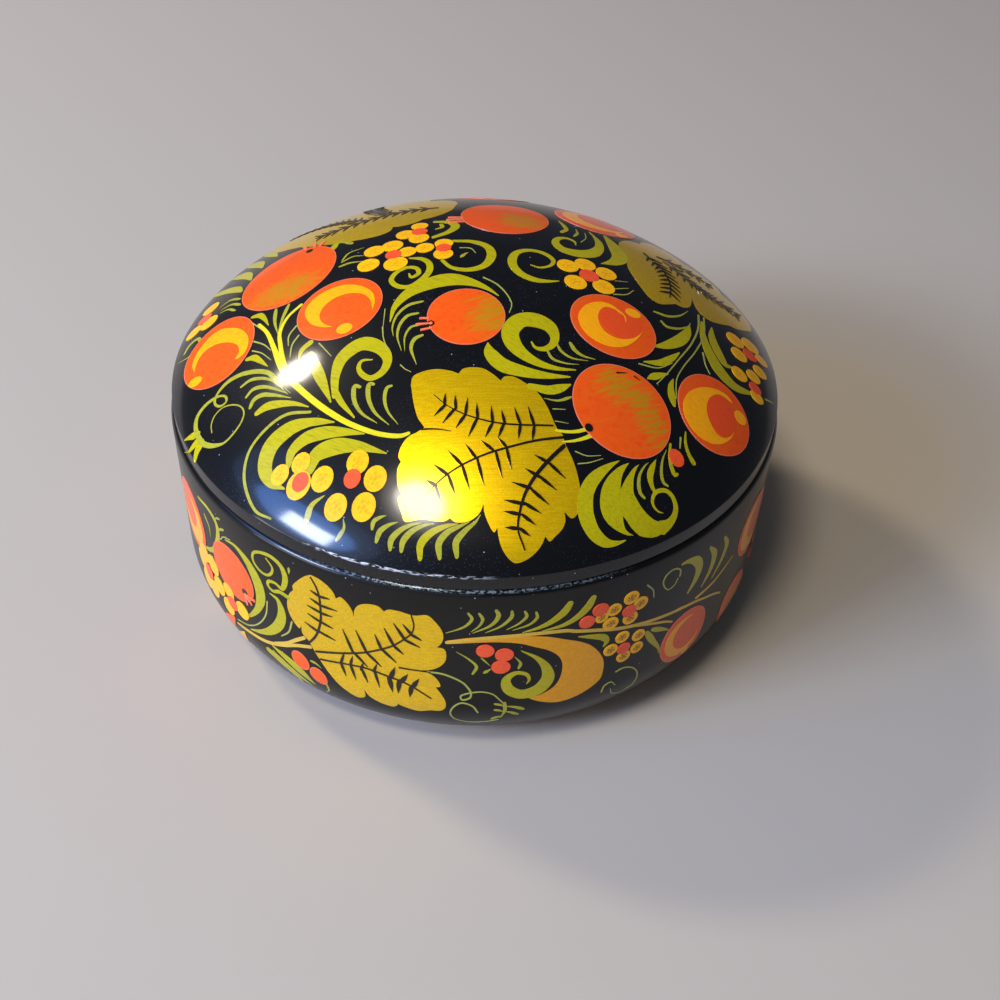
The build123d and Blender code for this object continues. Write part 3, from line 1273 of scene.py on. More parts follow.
LID_FRONDS: tuple[tuple[float, tuple[Point, ...]], ...] = (
    (0.9, ((-16.9, -52.6), (-16.7, -51.7), (-15.4, -51.2), (-14.6, -51.1))),
    (1.1, ((-16.1, -54.3), (-15.6, -53.2), (-14.2, -52.5), (-12.6, -52.2))),
    (1.2, ((-13.7, -55.5), (-13.6, -54.5), (-12.2, -53.4), (-10.4, -52.8), (-8.6, -52.6))),
    (1.2, ((-11.8, -55.9), (-11.6, -54.9), (-10.2, -53.7), (-8.2, -53), (-6.4, -52.8))),
    (1.5, ((-8.6, -57), (-8.6, -55.5), (-7, -54.1), (-4.4, -53.2), (-2.4, -52.9))),
    (1.3, ((-5.3, -57.1), (-5.5, -55.5), (-4.2, -54.1), (-2, -53.2), (-0.4, -52.6))),
    (1.3, ((-2.4, -57), (-2.6, -55.4), (-1.2, -53.9), (0.6, -52.6), (1.4, -51.6))),
    (1.4, ((-28.5, -49.5), (-27.7, -47.5), (-25.5, -46.5))),
    (0.9, ((-23, -53), (-21.8, -51.8), (-22, -50.5))),
    (1.0, ((-20.3, -29.3), (-21.2, -28.9), (-21.2, -31.5), (-19.8, -34.2), (-16.9, -36.5))),
    (1.0, ((-17.9, -29.2), (-18.6, -29), (-18.7, -31.5), (-17.4, -34.5), (-14.8, -37.1))),
    (0.8, ((-14.7, -30), (-15.4, -30.2), (-15.8, -32), (-15.2, -34.5), (-13.2, -37.2))),
    (0.8, ((-10, -11.5), (-12.5, -12.2), (-14.5, -14.5), (-15.2, -17.5), (-14.9, -19.5))),
    (0.8, ((-10.7, -14.5), (-12.5, -14.9), (-13.8, -16.8), (-14.2, -19.5), (-13.3, -23))),
    (0.6, ((-10.2, -17.4), (-11.8, -17.8), (-12.8, -19.8), (-12.7, -23.2))),
    (0.9, ((-9.7, -19.9), (-11, -20.6), (-11.6, -22.5), (-10.5, -26.2))),
    (0.9, ((-3.3, 1.8), (-2.6, 2.8), (-2, 3.4))),
    (1.8, ((-28.7, 12), (-28, 14.5), (-26.5, 16))),
    (1.2, ((-24.8, 12.7), (-26, 13.9), (-27.5, 15))),
    (0.5, ((-26.2, 5.8), (-25, 8.4), (-22.2, 9.4))),
    (0.5, ((-26.2, 5.2), (-24, 6.5), (-22, 6))),
    (0.7, ((-26.5, 3.7), (-24.5, 4.2), (-22, 3.8))),
    (0.8, ((18.7, 15.8), (19.4, 17.8), (19.2, 20.3))),
    (0.6, ((12.6, -22.2), (13.6, -23.8), (16, -24.3), (18.3, -24))),
    (0.6, ((14.4, -20.5), (15.2, -21.9), (17, -22.9), (20, -22.8))),
    (0.9, ((16.8, -19.6), (17.6, -21), (19, -21.9), (21.3, -22.1))),
    (0.6, ((16.8, -30.9), (14.5, -32), (12, -32))),
    (0.75, ((29.8, -44.5), (29.1, -44), (28.8, -42.8), (29, -41.2), (29.9, -39.5), (30.6, -38.7))),
    (0.65, ((34.1, -41.2), (33.4, -41), (33, -39.8), (33.2, -37.5), (34, -35.3))),
    (0.7, ((33.3, -4.8), (36, -4.5), (38.5, -2.6), (40.5, 0.5))),
    (0.7, ((34.5, -6.9), (35.5, -7.8), (37.8, -7), (40, -4.8), (40.6, -3.5))),
    (0.8, ((-42.8, -21.4), (-41.1, -20.8), (-39.3, -21.3), (-37.2, -22.5), (-34.4, -25.6))),
    (0.9, ((-41.5, -24.2), (-40.4, -23.2), (-38.7, -23.4), (-37, -24.3), (-33.6, -26.8))),
    (1.1, ((-40.5, -26.8), (-39.9, -25.5), (-38.5, -25.2), (-36.7, -25.9), (-32.8, -28))),
    (1.9, ((-39, -28.5), (-37.4, -28), (-35, -28.4), (-32, -29.4), (-29.4, -30.8))),
    (1.4, ((-42.7, -3.5), (-41.3, -4), (-40.1, -5.8), (-39, -8.4))),
    (1.5, ((-42.3, -15.3), (-41.1, -15.6), (-39.6, -17.2), (-38, -19.2))),
    (1.6, ((-50.6, -26.4), (-52, -25.8), (-53.6, -25.2))),
    (1.6, ((-50.2, -27.6), (-51.6, -28), (-53, -28.4))),
    (2.0, ((-49.8, -28.4), (-50.6, -29.8), (-50.8, -31.2))),
    (0.9, ((-57, -1.9), (-56.2, -0.2), (-54.6, 0.1), (-53.8, -1.4), (-54.4, -3.6), (-55.8, -4.4), (-58, -3.4))),
    (0.8, ((-46.6, 6.2), (-49, 8.2), (-51, 7.6))),
    (0.8, ((-46.2, 3.6), (-48.4, 5.8), (-50.6, 6))),
    (0.7, ((-47.2, 2.4), (-48.8, 4.4), (-50.6, 4.9))),
    (0.9, ((-38, -4.3), (-37.8, -8), (-36.8, -12))),
    (0.9, ((-35.5, -4.3), (-36.3, -8), (-36.8, -12))),
)

LID_HAIRS: tuple[tuple[float, tuple[Point, ...]], ...] = (
    (0.4, ((-28.5, -17.8), (-26, -21.5))),
    (0.5, ((1, -4.9), (3.5, -6.8), (5.3, -9.4), (6.2, -12), (5.8, -14.3))),
    (0.35, ((-13.3, -26), (-12.5, -26.9), (-11.4, -27.6))),
    (0.3, ((-16.8, -12.5), (-16.9, -17))),
    (0.4, ((-17, -17), (-16.6, -20), (-15.5, -22.8))),
    (0.4, ((-3.6, 5.2), (-1.6, 5), (-0.6, 3.3))),
    (0.4, ((20, 13.6), (21, 16), (21, 19))),
    (0.3, ((13.6, -33.7), (15.8, -33.4))),
    (0.25, ((14, -35.8), (16.3, -35.8))),
    (0.5, ((25.5, -3.7), (28, -2.5), (29.5, -0.3))),
    (0.4, ((25.8, -1.8), (28.5, -0.2))),
    (0.3, ((26, 1), (28.5, 2))),
    (0.5, ((36.8, -32), (36.6, -34))),
    (0.5, ((29.5, -20.2), (33, -19.6), (36, -17))),
    (0.6, ((42.7, 1), (42.2, -3.5), (40.3, -9.5), (37, -16), (34.6, -20.3), (32.7, -23.2))),
    (0.5, ((43.8, 1), (43.2, -5), (40.8, -11.5), (38, -17), (36.6, -20.5), (36.3, -24.7))),
    (0.5, ((42.5, -10.5), (42.8, -13.5), (43.5, -15.2))),
    (0.7, ((55.5, -12), (57.2, -11))),
    (0.3, ((-38, -20.5), (-33, -27))),
    (0.3, ((-37.5, -21.5), (-33.5, -27))),
    (0.4, ((-42.5, -5.5), (-39.5, -10))),
    (0.5, ((-41.5, -11.3), (-39.3, -13.4), (-37.8, -15.5))),
    (0.4, ((-41.5, -13.7), (-39.5, -15.4), (-37.5, -18))),
    (0.6, ((-33.3, -11.5), (-34.5, -13.5), (-34.4, -16))),
    (0.6, ((-32.6, -14.3), (-33.6, -16), (-33.8, -19))),
    (0.5, ((-47, 2.3), (-49, 4.5))),
    (0.3, ((17.5, -40.3), (19.5, -40.6), (22, -40))),
    (0.3, ((18, -42.2), (20, -41.6), (22.4, -40.4))),
)

CURLED_LEAF: Outline = (
    ((25.5, -40.8), (24.2, -42), (23.2, -43.2), (22.4, -44.6), (22, -46), (21.9, -47.3), (22.1, -48.4),
     (22.6, -49.3), (23.4, -50), (24.4, -50.4), (25.5, -50.6), (26.8, -50.6), (27.9, -50.3)),
    ((27, -50.2), (26.4, -49.9), (26.1, -49.3), (25.9, -48.2)),
    ((26.6, -48.7), (27.4, -49.4), (28.2, -49.8), (29, -50), (30.2, -49.8), (31.4, -49.4), (32.6, -48.7),
     (33.8, -47.6), (34.4, -46.5)),
    ((33.6, -46.7), (32.6, -47), (31.6, -47.1), (30.7, -46.9), (29.9, -46.5), (29.1, -45.9), (28.4, -45.1),
     (27.9, -44.4), (27.8, -43.4), (27.9, -42), (28.3, -40.7), (28.9, -39.5)),
    ((28, -40.3), (27.2, -41.4), (26.4, -42.7), (25.5, -44.5)),
    ((25.6, -43.2), (25.9, -42), (26.5, -40.8), (27.1, -39.8)),
)

LID_BERRIES: tuple[tuple[float, ...], ...] = (
    (-36.8, 7, 9.3, 10.8, 0), (-48.8, -8.7, 7, 9.1, 14), (-25.4, -9.6, 7.9, 8.1, 0), (-2, -15.4, 7, 6.9, 0),
    (25, -12.5, 8, 7.7, 0), (26, -30.6, 8.9, 8.45, 0), (5, 21, 8.7, 9, 0), (23.8, 30.5, 8.4, 8.7, 0),
    (43.7, -23.7, 6.8, 8.1, -25), (3, 46, 7.6, 7, 0),
)
LID_OLIVE: tuple[tuple[float, ...], ...] = (
    (-37, 1.4, 9, 6, 8), (2.4, -15.4, 5.8, 6.6, 0), (31, -31, 7.4, 3.6, -62), (26.4, -26.8, 7.4, 4.6, -14),
    (8.5, 19.5, 6.5, 6, -30), (5, 48, 4, 4, 0),
)
LID_DISCS: tuple[tuple[float, ...], ...] = (
    (26.2, -11.4, 4.1, 3.9, 0), (44.9, -23.4, 2.9, 4.2, -8), (24.8, 31, 4.4, 4.4, 0),
)
LID_CRESCENTS: tuple[tuple[tuple[float, float, float], tuple[float, float, float]], ...] = (
    ((23.4, 30.4, 6.4), (25, 31.4, 4.9)),
)
LID_CRESCENT_PATCHES: tuple[Outline, ...] = (
    (((-54.2, -8.4), (-53.8, -5.6), (-52.6, -3.8), (-51.1, -2.4), (-49.2, -2.3), (-47.1, -3.6), (-45, -5.5),
      (-43.5, -7.7), (-42.7, -9.8), (-42.6, -12), (-43.1, -13.4), (-44.2, -14), (-44.9, -13.8)),
     ((-44.3, -12.8), (-44.3, -11.6), (-44.9, -10.1), (-46.2, -8.6), (-48, -7.2), (-49.8, -6.4), (-51.4, -6.3),
      (-52.5, -7), (-53.2, -8.6), (-53.4, -10.9))),
    (((-18.8, -10.1), (-19.4, -7.4), (-20.9, -5.5), (-23.2, -3.9), (-25.7, -3.3), (-28.5, -3.9), (-30.8, -5.6),
      (-31.9, -8), (-31.6, -10.2), (-30.2, -12.6), (-28.2, -14), (-26.3, -14.6)),
     ((-27.7, -13.5), (-28.7, -12.1), (-29, -10.6), (-28.6, -8.9), (-27.5, -7.5), (-26.1, -6.6), (-24.2, -6.3),
      (-22.3, -6.7), (-20.7, -7.8), (-19.7, -9.4), (-19.1, -12.2))),
    (((25.7, -7.8), (24.6, -7.2), (22.9, -7.2), (20.8, -8.3), (19.1, -10.4), (18.4, -13), (19.1, -15.6),
      (20.8, -17.4), (23.4, -18.3), (26, -17.8), (27.9, -16.4), (29.6, -14.1), (30.8, -11.3)),
     ((30, -12.9), (28.8, -14.4), (27, -15.5), (25.3, -15.8), (23.6, -15.2), (22.5, -13.8), (22.1, -11.7),
      (22.6, -9.6), (23.7, -8.3), (25, -8), (26.6, -9.3))),
    (((46.9, -18.3), (45.3, -18.1), (43.1, -18.7), (40.8, -20.1), (38.7, -22.3), (37.6, -25), (37.7, -27.3),
      (38.8, -29.1), (40.6, -30.2), (42.9, -30.2), (45, -29.1), (46.7, -27.2), (47.6, -25.3)),
     ((46.8, -26.6), (45.4, -27.8), (44.1, -27.9), (42.9, -26.6), (42.2, -24.6), (42.4, -22.3), (43.5, -20.3),
      (45.2, -19), (47.7, -19.2))),
)
LID_CRESCENT_HAIRS: tuple[tuple[Brush, ...], ...] = (
    ((24, -8, 0.3), (26, -8.3, 0.35), (27.2, -9.4, 0.3), (27.4, -10.9, 0.15)),
)
LID_GLINTS: tuple[tuple[float, ...], ...] = (
    (-52.8, -13.8, 1.1, 1.6, 60), (-24, -15.7, 1.5, 1.25, 0), (28.9, -7.8, 1.5, 1.2, 0), (49.1, -21.4, 1.2, 1.4, 0),
    (29, 25.5, 1.3, 1.1, 0),
)
LID_FRUIT: tuple[tuple[float, float, float], ...] = (
    (-33.7, -41.2, 1.65), (-30, -40.4, 1.7), (-30.2, -43.8, 2.2), (-26, -43.9, 2), (-19.9, -42.5, 1.95),
    (-16.7, -45.5, 2), (-23.4, -48.6, 2), (-18.5, -49.4, 2.1), (-20, 6.9, 2.05), (-16.6, 7.9, 2.1),
    (-20.8, 1.9, 2.15), (-15.6, 0.9, 2.3), (-13.6, 4.8, 1.8), (-10.3, 5.7, 1.8), (-14.3, 12.3, 1.9),
    (-11.6, 10, 2), (-11.7, 15.8, 1.7), (-6.7, 7, 1.8), (-6.7, 3, 1.9), (16.9, 2.2, 2.1), (20.3, 4, 2.05),
    (24.3, 2.6, 2.05), (18.2, -2.9, 2.15), (23.6, -2.2, 2.15), (50.3, -0.2, 1.9), (53.8, 1.8, 1.9),
    (56, -0.5, 1.4), (50.6, -4.4, 1.7), (55, -5.2, 1.5), (53.2, -8.3, 1.5), (50, -10.4, 1.65),
    (53.4, -13.4, 1.4), (-53.3, 10, 1.8), (-56, 4, 1.7), (-52.7, 3.7, 1.9),
)
LID_RED_FRUIT: tuple[tuple[float, float, float], ...] = (
    (-29.9, -43.4, 1.5), (-20.7, -44.9, 1.5), (-16.2, 4.3, 1.6), (-11.6, 12.9, 1.6), (-6.7, 5.2, 1.5),
    (20.9, 0.3, 1.9), (53.2, -2, 1.5), (53.2, -11.4, 1.3), (-54, 6.5, 1.5), (35.8, -36, 1.45),
)


@dataclass
class LidOrnament:
    """Everything painted on the lid, drawn in its plan: x to the right and y to the back, in mm."""

    painter: Painter

    def paint(self) -> list[bpy.types.Object]:
        """Paint the lid from the leaves up to the last dark marks."""
        self.leaves()
        self.scrolls()
        self.berries()
        self.small_fruit()
        return self.painter.finish()

    def leaves(self) -> None:
        """The front leaf, the two that turn over the back, and the curled one by the rim."""
        painter = self.painter
        painter.patch(Paint.LEAVES, smooth_outline(LEAF_LOBES))
        for width, rib in LEAF_RIBS:
            painter.pull(Paint.VEINS, width, rib, tail=0.4)
        painter.pull(Paint.VEINS, 0.3, LEAF_CREASE)
        painter.ticks(LEAF_TICKS)
        for outline, ribs in BACK_LEAVES:
            painter.patch(Paint.LEAVES, smooth_outline(outline))
            for rib in ribs:
                painter.pull(Paint.VEINS, 0.4, rib, tail=0.5)
                painter.ticks(herringbone(rib))
        painter.patch(Paint.SCROLLS, smooth_outline(CURLED_LEAF))

    def scrolls(self) -> None:
        """The olive scrolls, fronds and hairlines, and the bright stems."""
        for points in LID_SCROLLS:
            self.painter.stroke(Paint.SCROLLS, points)
        for points in LID_OUTLINES:
            self.painter.stroke(Paint.FRONDS, points)
        for width, points in LID_FRONDS:
            paint = Paint.SCROLLS if width > THIN_PULL else Paint.FRONDS
            self.painter.pull(paint, width, points, tail=0.1, head=0.55)
        for width, points in LID_HAIRS:
            self.painter.pull(Paint.HAIRS, width * HAIR_SHARE, points, tail=0.5)
        for points in LID_STEMS:
            self.painter.stroke(Paint.STEMS, points)

    def berries(self) -> None:
        """The big berries with their crescents, crowns and dots."""
        painter = self.painter
        for x, y, wide, tall, turn in LID_BERRIES:
            painter.blob(Paint.RIMS, x, y, wide + RIM, tall + RIM, turn)
            painter.blob(Paint.BERRIES, x, y, wide - RIM, tall - RIM, turn)
        for x, y, wide, tall, turn in LID_DISCS:
            painter.blob(Paint.DISCS, x, y, wide, tall, turn)
        for outer, inner in LID_CRESCENTS:
            painter.crescent(Paint.CRESCENTS, outer, inner)
        for lobes in LID_CRESCENT_PATCHES:
            painter.patch(Paint.CRESCENTS, smooth_outline(lobes))
        for points in LID_CRESCENT_HAIRS:
            painter.stroke(Paint.CRESCENTS, points)
        for x, y, wide, tall, turn in LID_GLINTS:
            painter.blob(Paint.CRESCENTS, x, y, wide, tall, turn)
        painter.blob(Paint.MARKS, 19.9, -35.8, 0.75)
        painter.pull(Paint.MARKS, 0.3, ((25.2, -23.8), (27, -23.2)))
        painter.pull(Paint.MARKS, 0.25, ((28.4, -23.4), (29.4, -23.9)))
        painter.blob(Paint.MARKS, -8.3, -17.3, 0.7)
        painter.blob(Paint.TIPS, -8.3, -17.3, 0.35)
        for start, end in (((-10.2, -15.9), (-8.8, -16)), ((-10.8, -17.3), (-8.8, -17.3)), ((-9.9, -18.7), (-8.2, -18.4))):
            painter.pull(Paint.TIPS, 0.45, (start, end), tail=0.8)
        painter.blob(Paint.MARKS, -33.5, 15, 0.75)
        for start, end in (((-32.8, 18.4), (-32.6, 16.5)), ((-30.9, 17.6), (-31.5, 16)), ((-34.9, 18.5), (-34.4, 16.8))):
            painter.pull(Paint.TIPS, 0.7, (start, end), tail=0.8)
        for start, end in (((-6, 19.8), (-3.4, 19.6)), ((-6.3, 18.4), (-3.4, 18.5)), ((-5.8, 17), (-3, 17.3))):
            painter.pull(Paint.TIPS, 0.6, (start, end), tail=0.8)

    def small_fruit(self) -> None:
        """The little yellow and red fruit in their clusters."""
        for x, y, radius in LID_FRUIT:
            self.painter.blob(Paint.FRUIT, x, y, radius)
            self.painter.stipple(Paint.DABS, x, y, radius)
        for x, y, radius in LID_RED_FRUIT:
            self.painter.blob(Paint.HEARTS, x, y, radius)


BAND_LEAF: Outline = (
    ((-29.1, 40), (-30.7, 38), (-31.9, 36), (-31.8, 35)),
    ((-32.7, 33.7), (-33.5, 31), (-33.5, 29), (-32.7, 26.8), (-31.3, 25.3), (-30.8, 26.3)),
    ((-30.7, 24.3), (-29.4, 23), (-29.1, 22.3), (-28.1, 20.3), (-27.2, 18.7), (-25.9, 16.7), (-24, 14.3),
     (-22.1, 12.7), (-20.2, 11.8), (-18.7, 12.8), (-18.7, 15)),
    ((-17.9, 13.5), (-16, 12.2), (-14.1, 11.7), (-13.4, 11.7), (-12.5, 12.8), (-13.1, 14.5)),
    ((-12.6, 13.2), (-10.9, 12.3), (-8.6, 11.8), (-6.7, 12.5), (-4.7, 12.8), (-3.9, 13.8), (-3.9, 15.7),
     (-4.5, 17.3), (-5.6, 19.5)),
    ((-4.8, 19.7), (-5.4, 21.7), (-7, 23.2), (-10.4, 23.3)),
    ((-7, 23.9), (-5.1, 25), (-4, 26.7), (-3.8, 28.7), (-4.2, 30), (-5.4, 30.3)),
    ((-4.7, 31.3), (-4.3, 33.3), (-4.8, 35.3), (-5.8, 37), (-7, 38.3), (-9.3, 37.8), (-11.8, 38.3),
     (-13.6, 38.2), (-14.4, 37.5)),
    ((-15.4, 38.5), (-17.3, 38.4), (-18.9, 37.5), (-19.7, 36), (-19.9, 34.2)),
    ((-20.2, 35.7), (-21, 37.2), (-22.2, 38.2), (-23.1, 37.4)),
    ((-23.5, 38.7), (-24.6, 40), (-26.2, 40.9), (-27.8, 41.1)),
)
BAND_RIBS: tuple[tuple[float, tuple[Point, ...]], ...] = (
    (0.5, ((-29.1, 23), (-27.8, 25.3), (-26.9, 28), (-26.4, 30.7), (-26.3, 33.3), (-26.4, 36.7), (-26.9, 38.7),
           (-27.8, 40.5))),
    (0.45, ((-28, 21), (-24.6, 22.5), (-21.4, 23.9), (-18.2, 25.5), (-15.1, 27.5), (-12.9, 29.2), (-10.9, 31.5),
            (-9.7, 33.2), (-9.3, 35.3), (-9.7, 37.8))),
    (0.4, ((-27.2, 19.3), (-23.3, 20.4), (-21.1, 20.9), (-17.9, 21.2), (-15.1, 20.7), (-13.1, 20.2),
           (-11.5, 19.7), (-9.6, 18.7), (-6.4, 16.2))),
    (0.3, ((-12, 23.5), (-9.5, 23.5), (-6.5, 23.5))),
)
BAND_TICKS: tuple[tuple[float, float, float, float], ...] = (
    (-28.1, 37.1, -26.4, 36.5), (-28.3, 35, -26.5, 34.3), (-29.1, 32.8, -26.4, 32.3),
    (-29.1, 30.6, -26.5, 29.7), (-29.9, 27.9, -27.2, 26.8), (-24.3, 36.7, -26.4, 36.5),
    (-23, 34.3, -26.4, 34.2), (-24, 32.3, -26.4, 32.2), (-24.1, 29.2, -26.5, 29.8),
    (-23.8, 26.2, -27, 27), (-22.2, 30, -20.5, 24.7), (-19.7, 30.8, -17.9, 25.7),
    (-16.2, 31, -15.1, 27.5), (-14.5, 33.3, -12.9, 29.2), (-12.8, 35, -10.9, 31.3),
    (-11.2, 35.2, -9.6, 32.7), (-17.8, 21.7, -20.2, 24.5), (-15.2, 22.7, -17.6, 25.3),
    (-12.5, 24.7, -15, 27.5), (-11.2, 27.3, -12.8, 29), (-8.3, 29.8, -10.9, 31.2), (-8, 31.7, -9.7, 32.8),
    (-22.1, 24, -23, 20.5), (-20.6, 23.5, -21.1, 21), (-18.6, 22.7, -19.1, 20.5), (-16, 23.3, -16.7, 21),
    (-22.1, 17.3, -23, 20.5), (-20.2, 17.2, -21.1, 20.8), (-17.9, 17.3, -18.9, 20.5),
    (-15.7, 16.8, -16.5, 20.8),
)
BAND_BROAD_TICKS: tuple[tuple[float, float, float, float], ...] = (
    (-12.8, 23.3, -13.6, 20.3), (-10.5, 22, -11.7, 19.7), (-8.5, 21.3, -9.7, 18.7),
    (-13.3, 16.3, -13.9, 20), (-12.3, 16.3, -12.1, 19.7), (-10.2, 15.8, -9.9, 18.7),
)
BAND_COMMA: Outline = (
    ((0, 33.2), (5, 33.6), (10, 33.1), (13.7, 32.2), (16.8, 30.7), (19.1, 29.5), (21.4, 27.7), (23.3, 25),
     (24.4, 22.3), (24.6, 19.7), (24.2, 17.3), (22.6, 15.7), (19.8, 14.2), (16.6, 13.6), (13.7, 14.4),
     (11.4, 15.7), (10.2, 16.8)),
    ((11.8, 16.4), (13.7, 17), (15.6, 18.7), (16.4, 21), (16.5, 24.3), (15.6, 26.7), (13.7, 28.7), (11.4, 30),
     (8.6, 31.4), (4.7, 32.1), (0.9, 32), (-3.7, 31.4)),
    ((-3.6, 32.3),),
)
BAND_STEMS: tuple[tuple[Brush, ...], ...] = (
    ((-30.4, 23.3, 0.77), (-32.3, 21.5, 0.77), (-34.5, 19.3, 0.68), (-37.7, 17, 0.59)),
    ((-29.2, 21.5, 0.77), (-32.3, 20, 0.77), (-35.4, 18, 0.77), (-39.9, 15.7, 0.77), (-45, 14.5, 0.68),
     (-48.9, 13.7, 0.42)),
    ((-3.7, 31.8, 0.68), (-0.7, 32.6, 0.77), (2.8, 33.2, 0.77), (7.3, 33.5, 0.77), (12.1, 33.5, 0.77),
     (17, 33, 0.77), (18.2, 32.5, 0.77), (22.3, 31.3, 0.77), (25.5, 30.2, 0.77), (29.3, 29.2, 0.77),
     (34.1, 28.2, 0.68), (37.9, 27.5, 0.68), (42.1, 26.7, 0.59)),
    ((45, 27, 0.68), (49.8, 27.5, 0.59), (53, 28.5, 0.51), (56.1, 29.5, 0.42)),
    ((40, 27.2, 0.68), (45, 26, 0.68), (48.2, 24.7, 0.59), (51.4, 23.2, 0.51), (53.6, 21.7, 0.42)),
    ((30, 29, 0.59), (34.7, 27, 0.59), (37.3, 25.8, 0.51), (39, 24.7, 0.42)),
)
BAND_SCROLLS: tuple[tuple[Brush, ...], ...] = (
    ((-37.5, 30.5, 0.3), (-35.8, 30, 1), (-35.1, 27, 1.9), (-36.1, 23.3, 2.2), (-38.6, 19.7, 1.8),
     (-41.5, 17.3, 1), (-44.4, 15.7, 0.3)),
    ((-49, 36, 0.3), (-46, 36.7, 0.8), (-43, 35.2, 2), (-40.8, 31.8, 2.9), (-40.2, 28, 2.6), (-41.3, 24, 1.6),
     (-43.5, 20.5, 0.9), (-45.5, 18.3, 0.3)),
    ((-37.5, 39.5, 0.3), (-36.2, 38, 0.5), (-36.6, 36.3, 0.6), (-38, 35, 0.6), (-39.7, 35.2, 0.6),
     (-41, 36.7, 0.6), (-40.7, 38.7, 0.6), (-38.6, 40.2, 0.7), (-36.1, 40.7, 0.9), (-34.2, 39.8, 1.1),
     (-33.4, 37.7, 1.3), (-33.7, 35.3, 1.2), (-34.5, 33.7, 0.9), (-35.8, 34.2, 0.7), (-37.5, 33.7, 0.7),
     (-37.8, 32.5, 0.7), (-36.7, 31.7, 0.7), (-35.1, 32.5, 0.9), (-33.2, 32.3, 1)),
    ((-38.6, 15.6, 0.3), (-35, 14.4, 1.8), (-32, 12.6, 2.2), (-29.5, 10.2, 0.3)),
    ((-38.6, 14.2, 0.3), (-34.6, 11.6, 1.2), (-31.6, 9.2, 1), (-30.2, 7.8, 0.3)),
    ((-39.8, 13.3, 1.6), (-37, 12.3, 2.4), (-34.5, 10.5, 2.2), (-33.6, 8.3, 1.2), (-35, 5.8, 1),
     (-38.5, 3.8, 1.2), (-43, 2.8, 1.6), (-48, 3, 1)),
    ((-58.3, 39.4, 0.5), (-54, 39.7, 0.9), (-51.6, 38.1, 1.1), (-51.7, 34.6, 1.3), (-54.4, 29.2, 1.2),
     (-57, 27.1, 0.9), (-59.6, 26, 0.4)),
    ((9, 29.4, 0.2), (11.8, 27, 0.9), (13.6, 24, 1.8), (14, 20.8, 2.6), (12.4, 18.2, 2.8), (9.3, 17.5, 2.4),
     (7.1, 19.3, 2.2), (6.7, 21.9, 1.6), (8.3, 23.5, 1), (10.2, 22.8, 0.8), (10.7, 21.2, 0.5),
     (10.3, 20.3, 0.2)),
    ((19.1, 30.7, 0.3), (22, 29.7, 1.2), (23.9, 28.7, 1.5), (24.6, 27.3, 1), (24.1, 26.3, 0.4)),
    ((39.2, 39.6, 0.6), (40.5, 39.5, 1), (42.7, 38.3, 2), (44.1, 35.7, 2), (43.7, 33, 1.6), (42.1, 30.3, 0.5)),
    ((46.5, 39, 0.6), (48.3, 36, 1.6), (48, 32.5, 1.4), (46, 29.2, 0.3)),
    ((51, 38.4, 0.6), (52.3, 35.6, 1.4), (51.5, 32.5, 1.2), (49, 29.3, 0.3)),
)
BAND_FRONDS: tuple[tuple[float, tuple[Point, ...]], ...] = (
    (0.8, ((-0.2, 39.5), (0.4, 38.2), (-0.7, 36.2), (-3.9, 34.2))),
    (0.8, ((1.6, 39.5), (2.2, 38), (1.6, 36.3), (0.3, 34.8))),
    (1.1, ((4.4, 40.2), (4.8, 39), (3.8, 36.7), (0.6, 34.5))),
    (0.9, ((7, 39.8), (7, 38.5), (5.4, 36.3), (2.7, 34.6))),
    (0.8, ((9.2, 39.5), (9.5, 38.3), (8.4, 36.7), (6.2, 35.2))),
    (0.8, ((11.1, 39), (11.3, 37.7), (10.2, 36.2), (7.3, 35))),
    (2.1, ((16.9, 40), (15.9, 38), (14, 36.2), (11.8, 35), (9, 34.2))),
    (2.1, ((21, 40.2), (20.2, 38.2), (18.6, 36.2), (16.4, 34.8), (12.4, 34))),
    (0.8, ((0.8, 23.7), (1.4, 25.7), (0, 27.7), (-2.1, 29.5))),
    (0.5, ((2.2, 28), (3.8, 25.8))),
    (0.8, ((8.7, 24.8), (9, 26), (7.9, 28))),
    (0.9, ((2.8, 24), (3.9, 25))),
    (1.0, ((6.6, 15.4), (6.7, 13), (6, 10.4))),
    (1.1, ((10, 13.1), (8.6, 13.9), (6.8, 14.4))),
    (1.0, ((9.1, 11.4), (8, 12.2), (6.6, 12.8))),
    (0.8, ((4.9, 15.2), (5.8, 14.9), (6.7, 14.4))),
    (0.8, ((4.9, 13.4), (5.7, 13.2), (6.6, 12.7))),
    (0.9, ((4.5, 10), (5.4, 10.8), (6.4, 11))),
    (1.9, ((33.1, 25.3), (34.7, 22.3), (36.6, 19), (37, 17.3))),
    (1.6, ((34.4, 25.5), (37.3, 23.7), (38.6, 22.7))),
    (0.8, ((-29.4, 17.5), (-28.3, 17.4), (-27.2, 16.7))),
    (0.7, ((-26.5, 12.3), (-26.4, 10.3), (-27.5, 8.5))),
    (0.8, ((-32.3, 40.2), (-32.4, 38.7))),
    (0.7, ((-50.1, 40.3), (-51.2, 39.7), (-52, 38.6))),
    (0.8, ((-49.2, 38.3), (-50.4, 37.5), (-51.6, 36))),
    (0.8, ((-56.4, 36.6), (-55, 34.8), (-54.9, 32))),
)
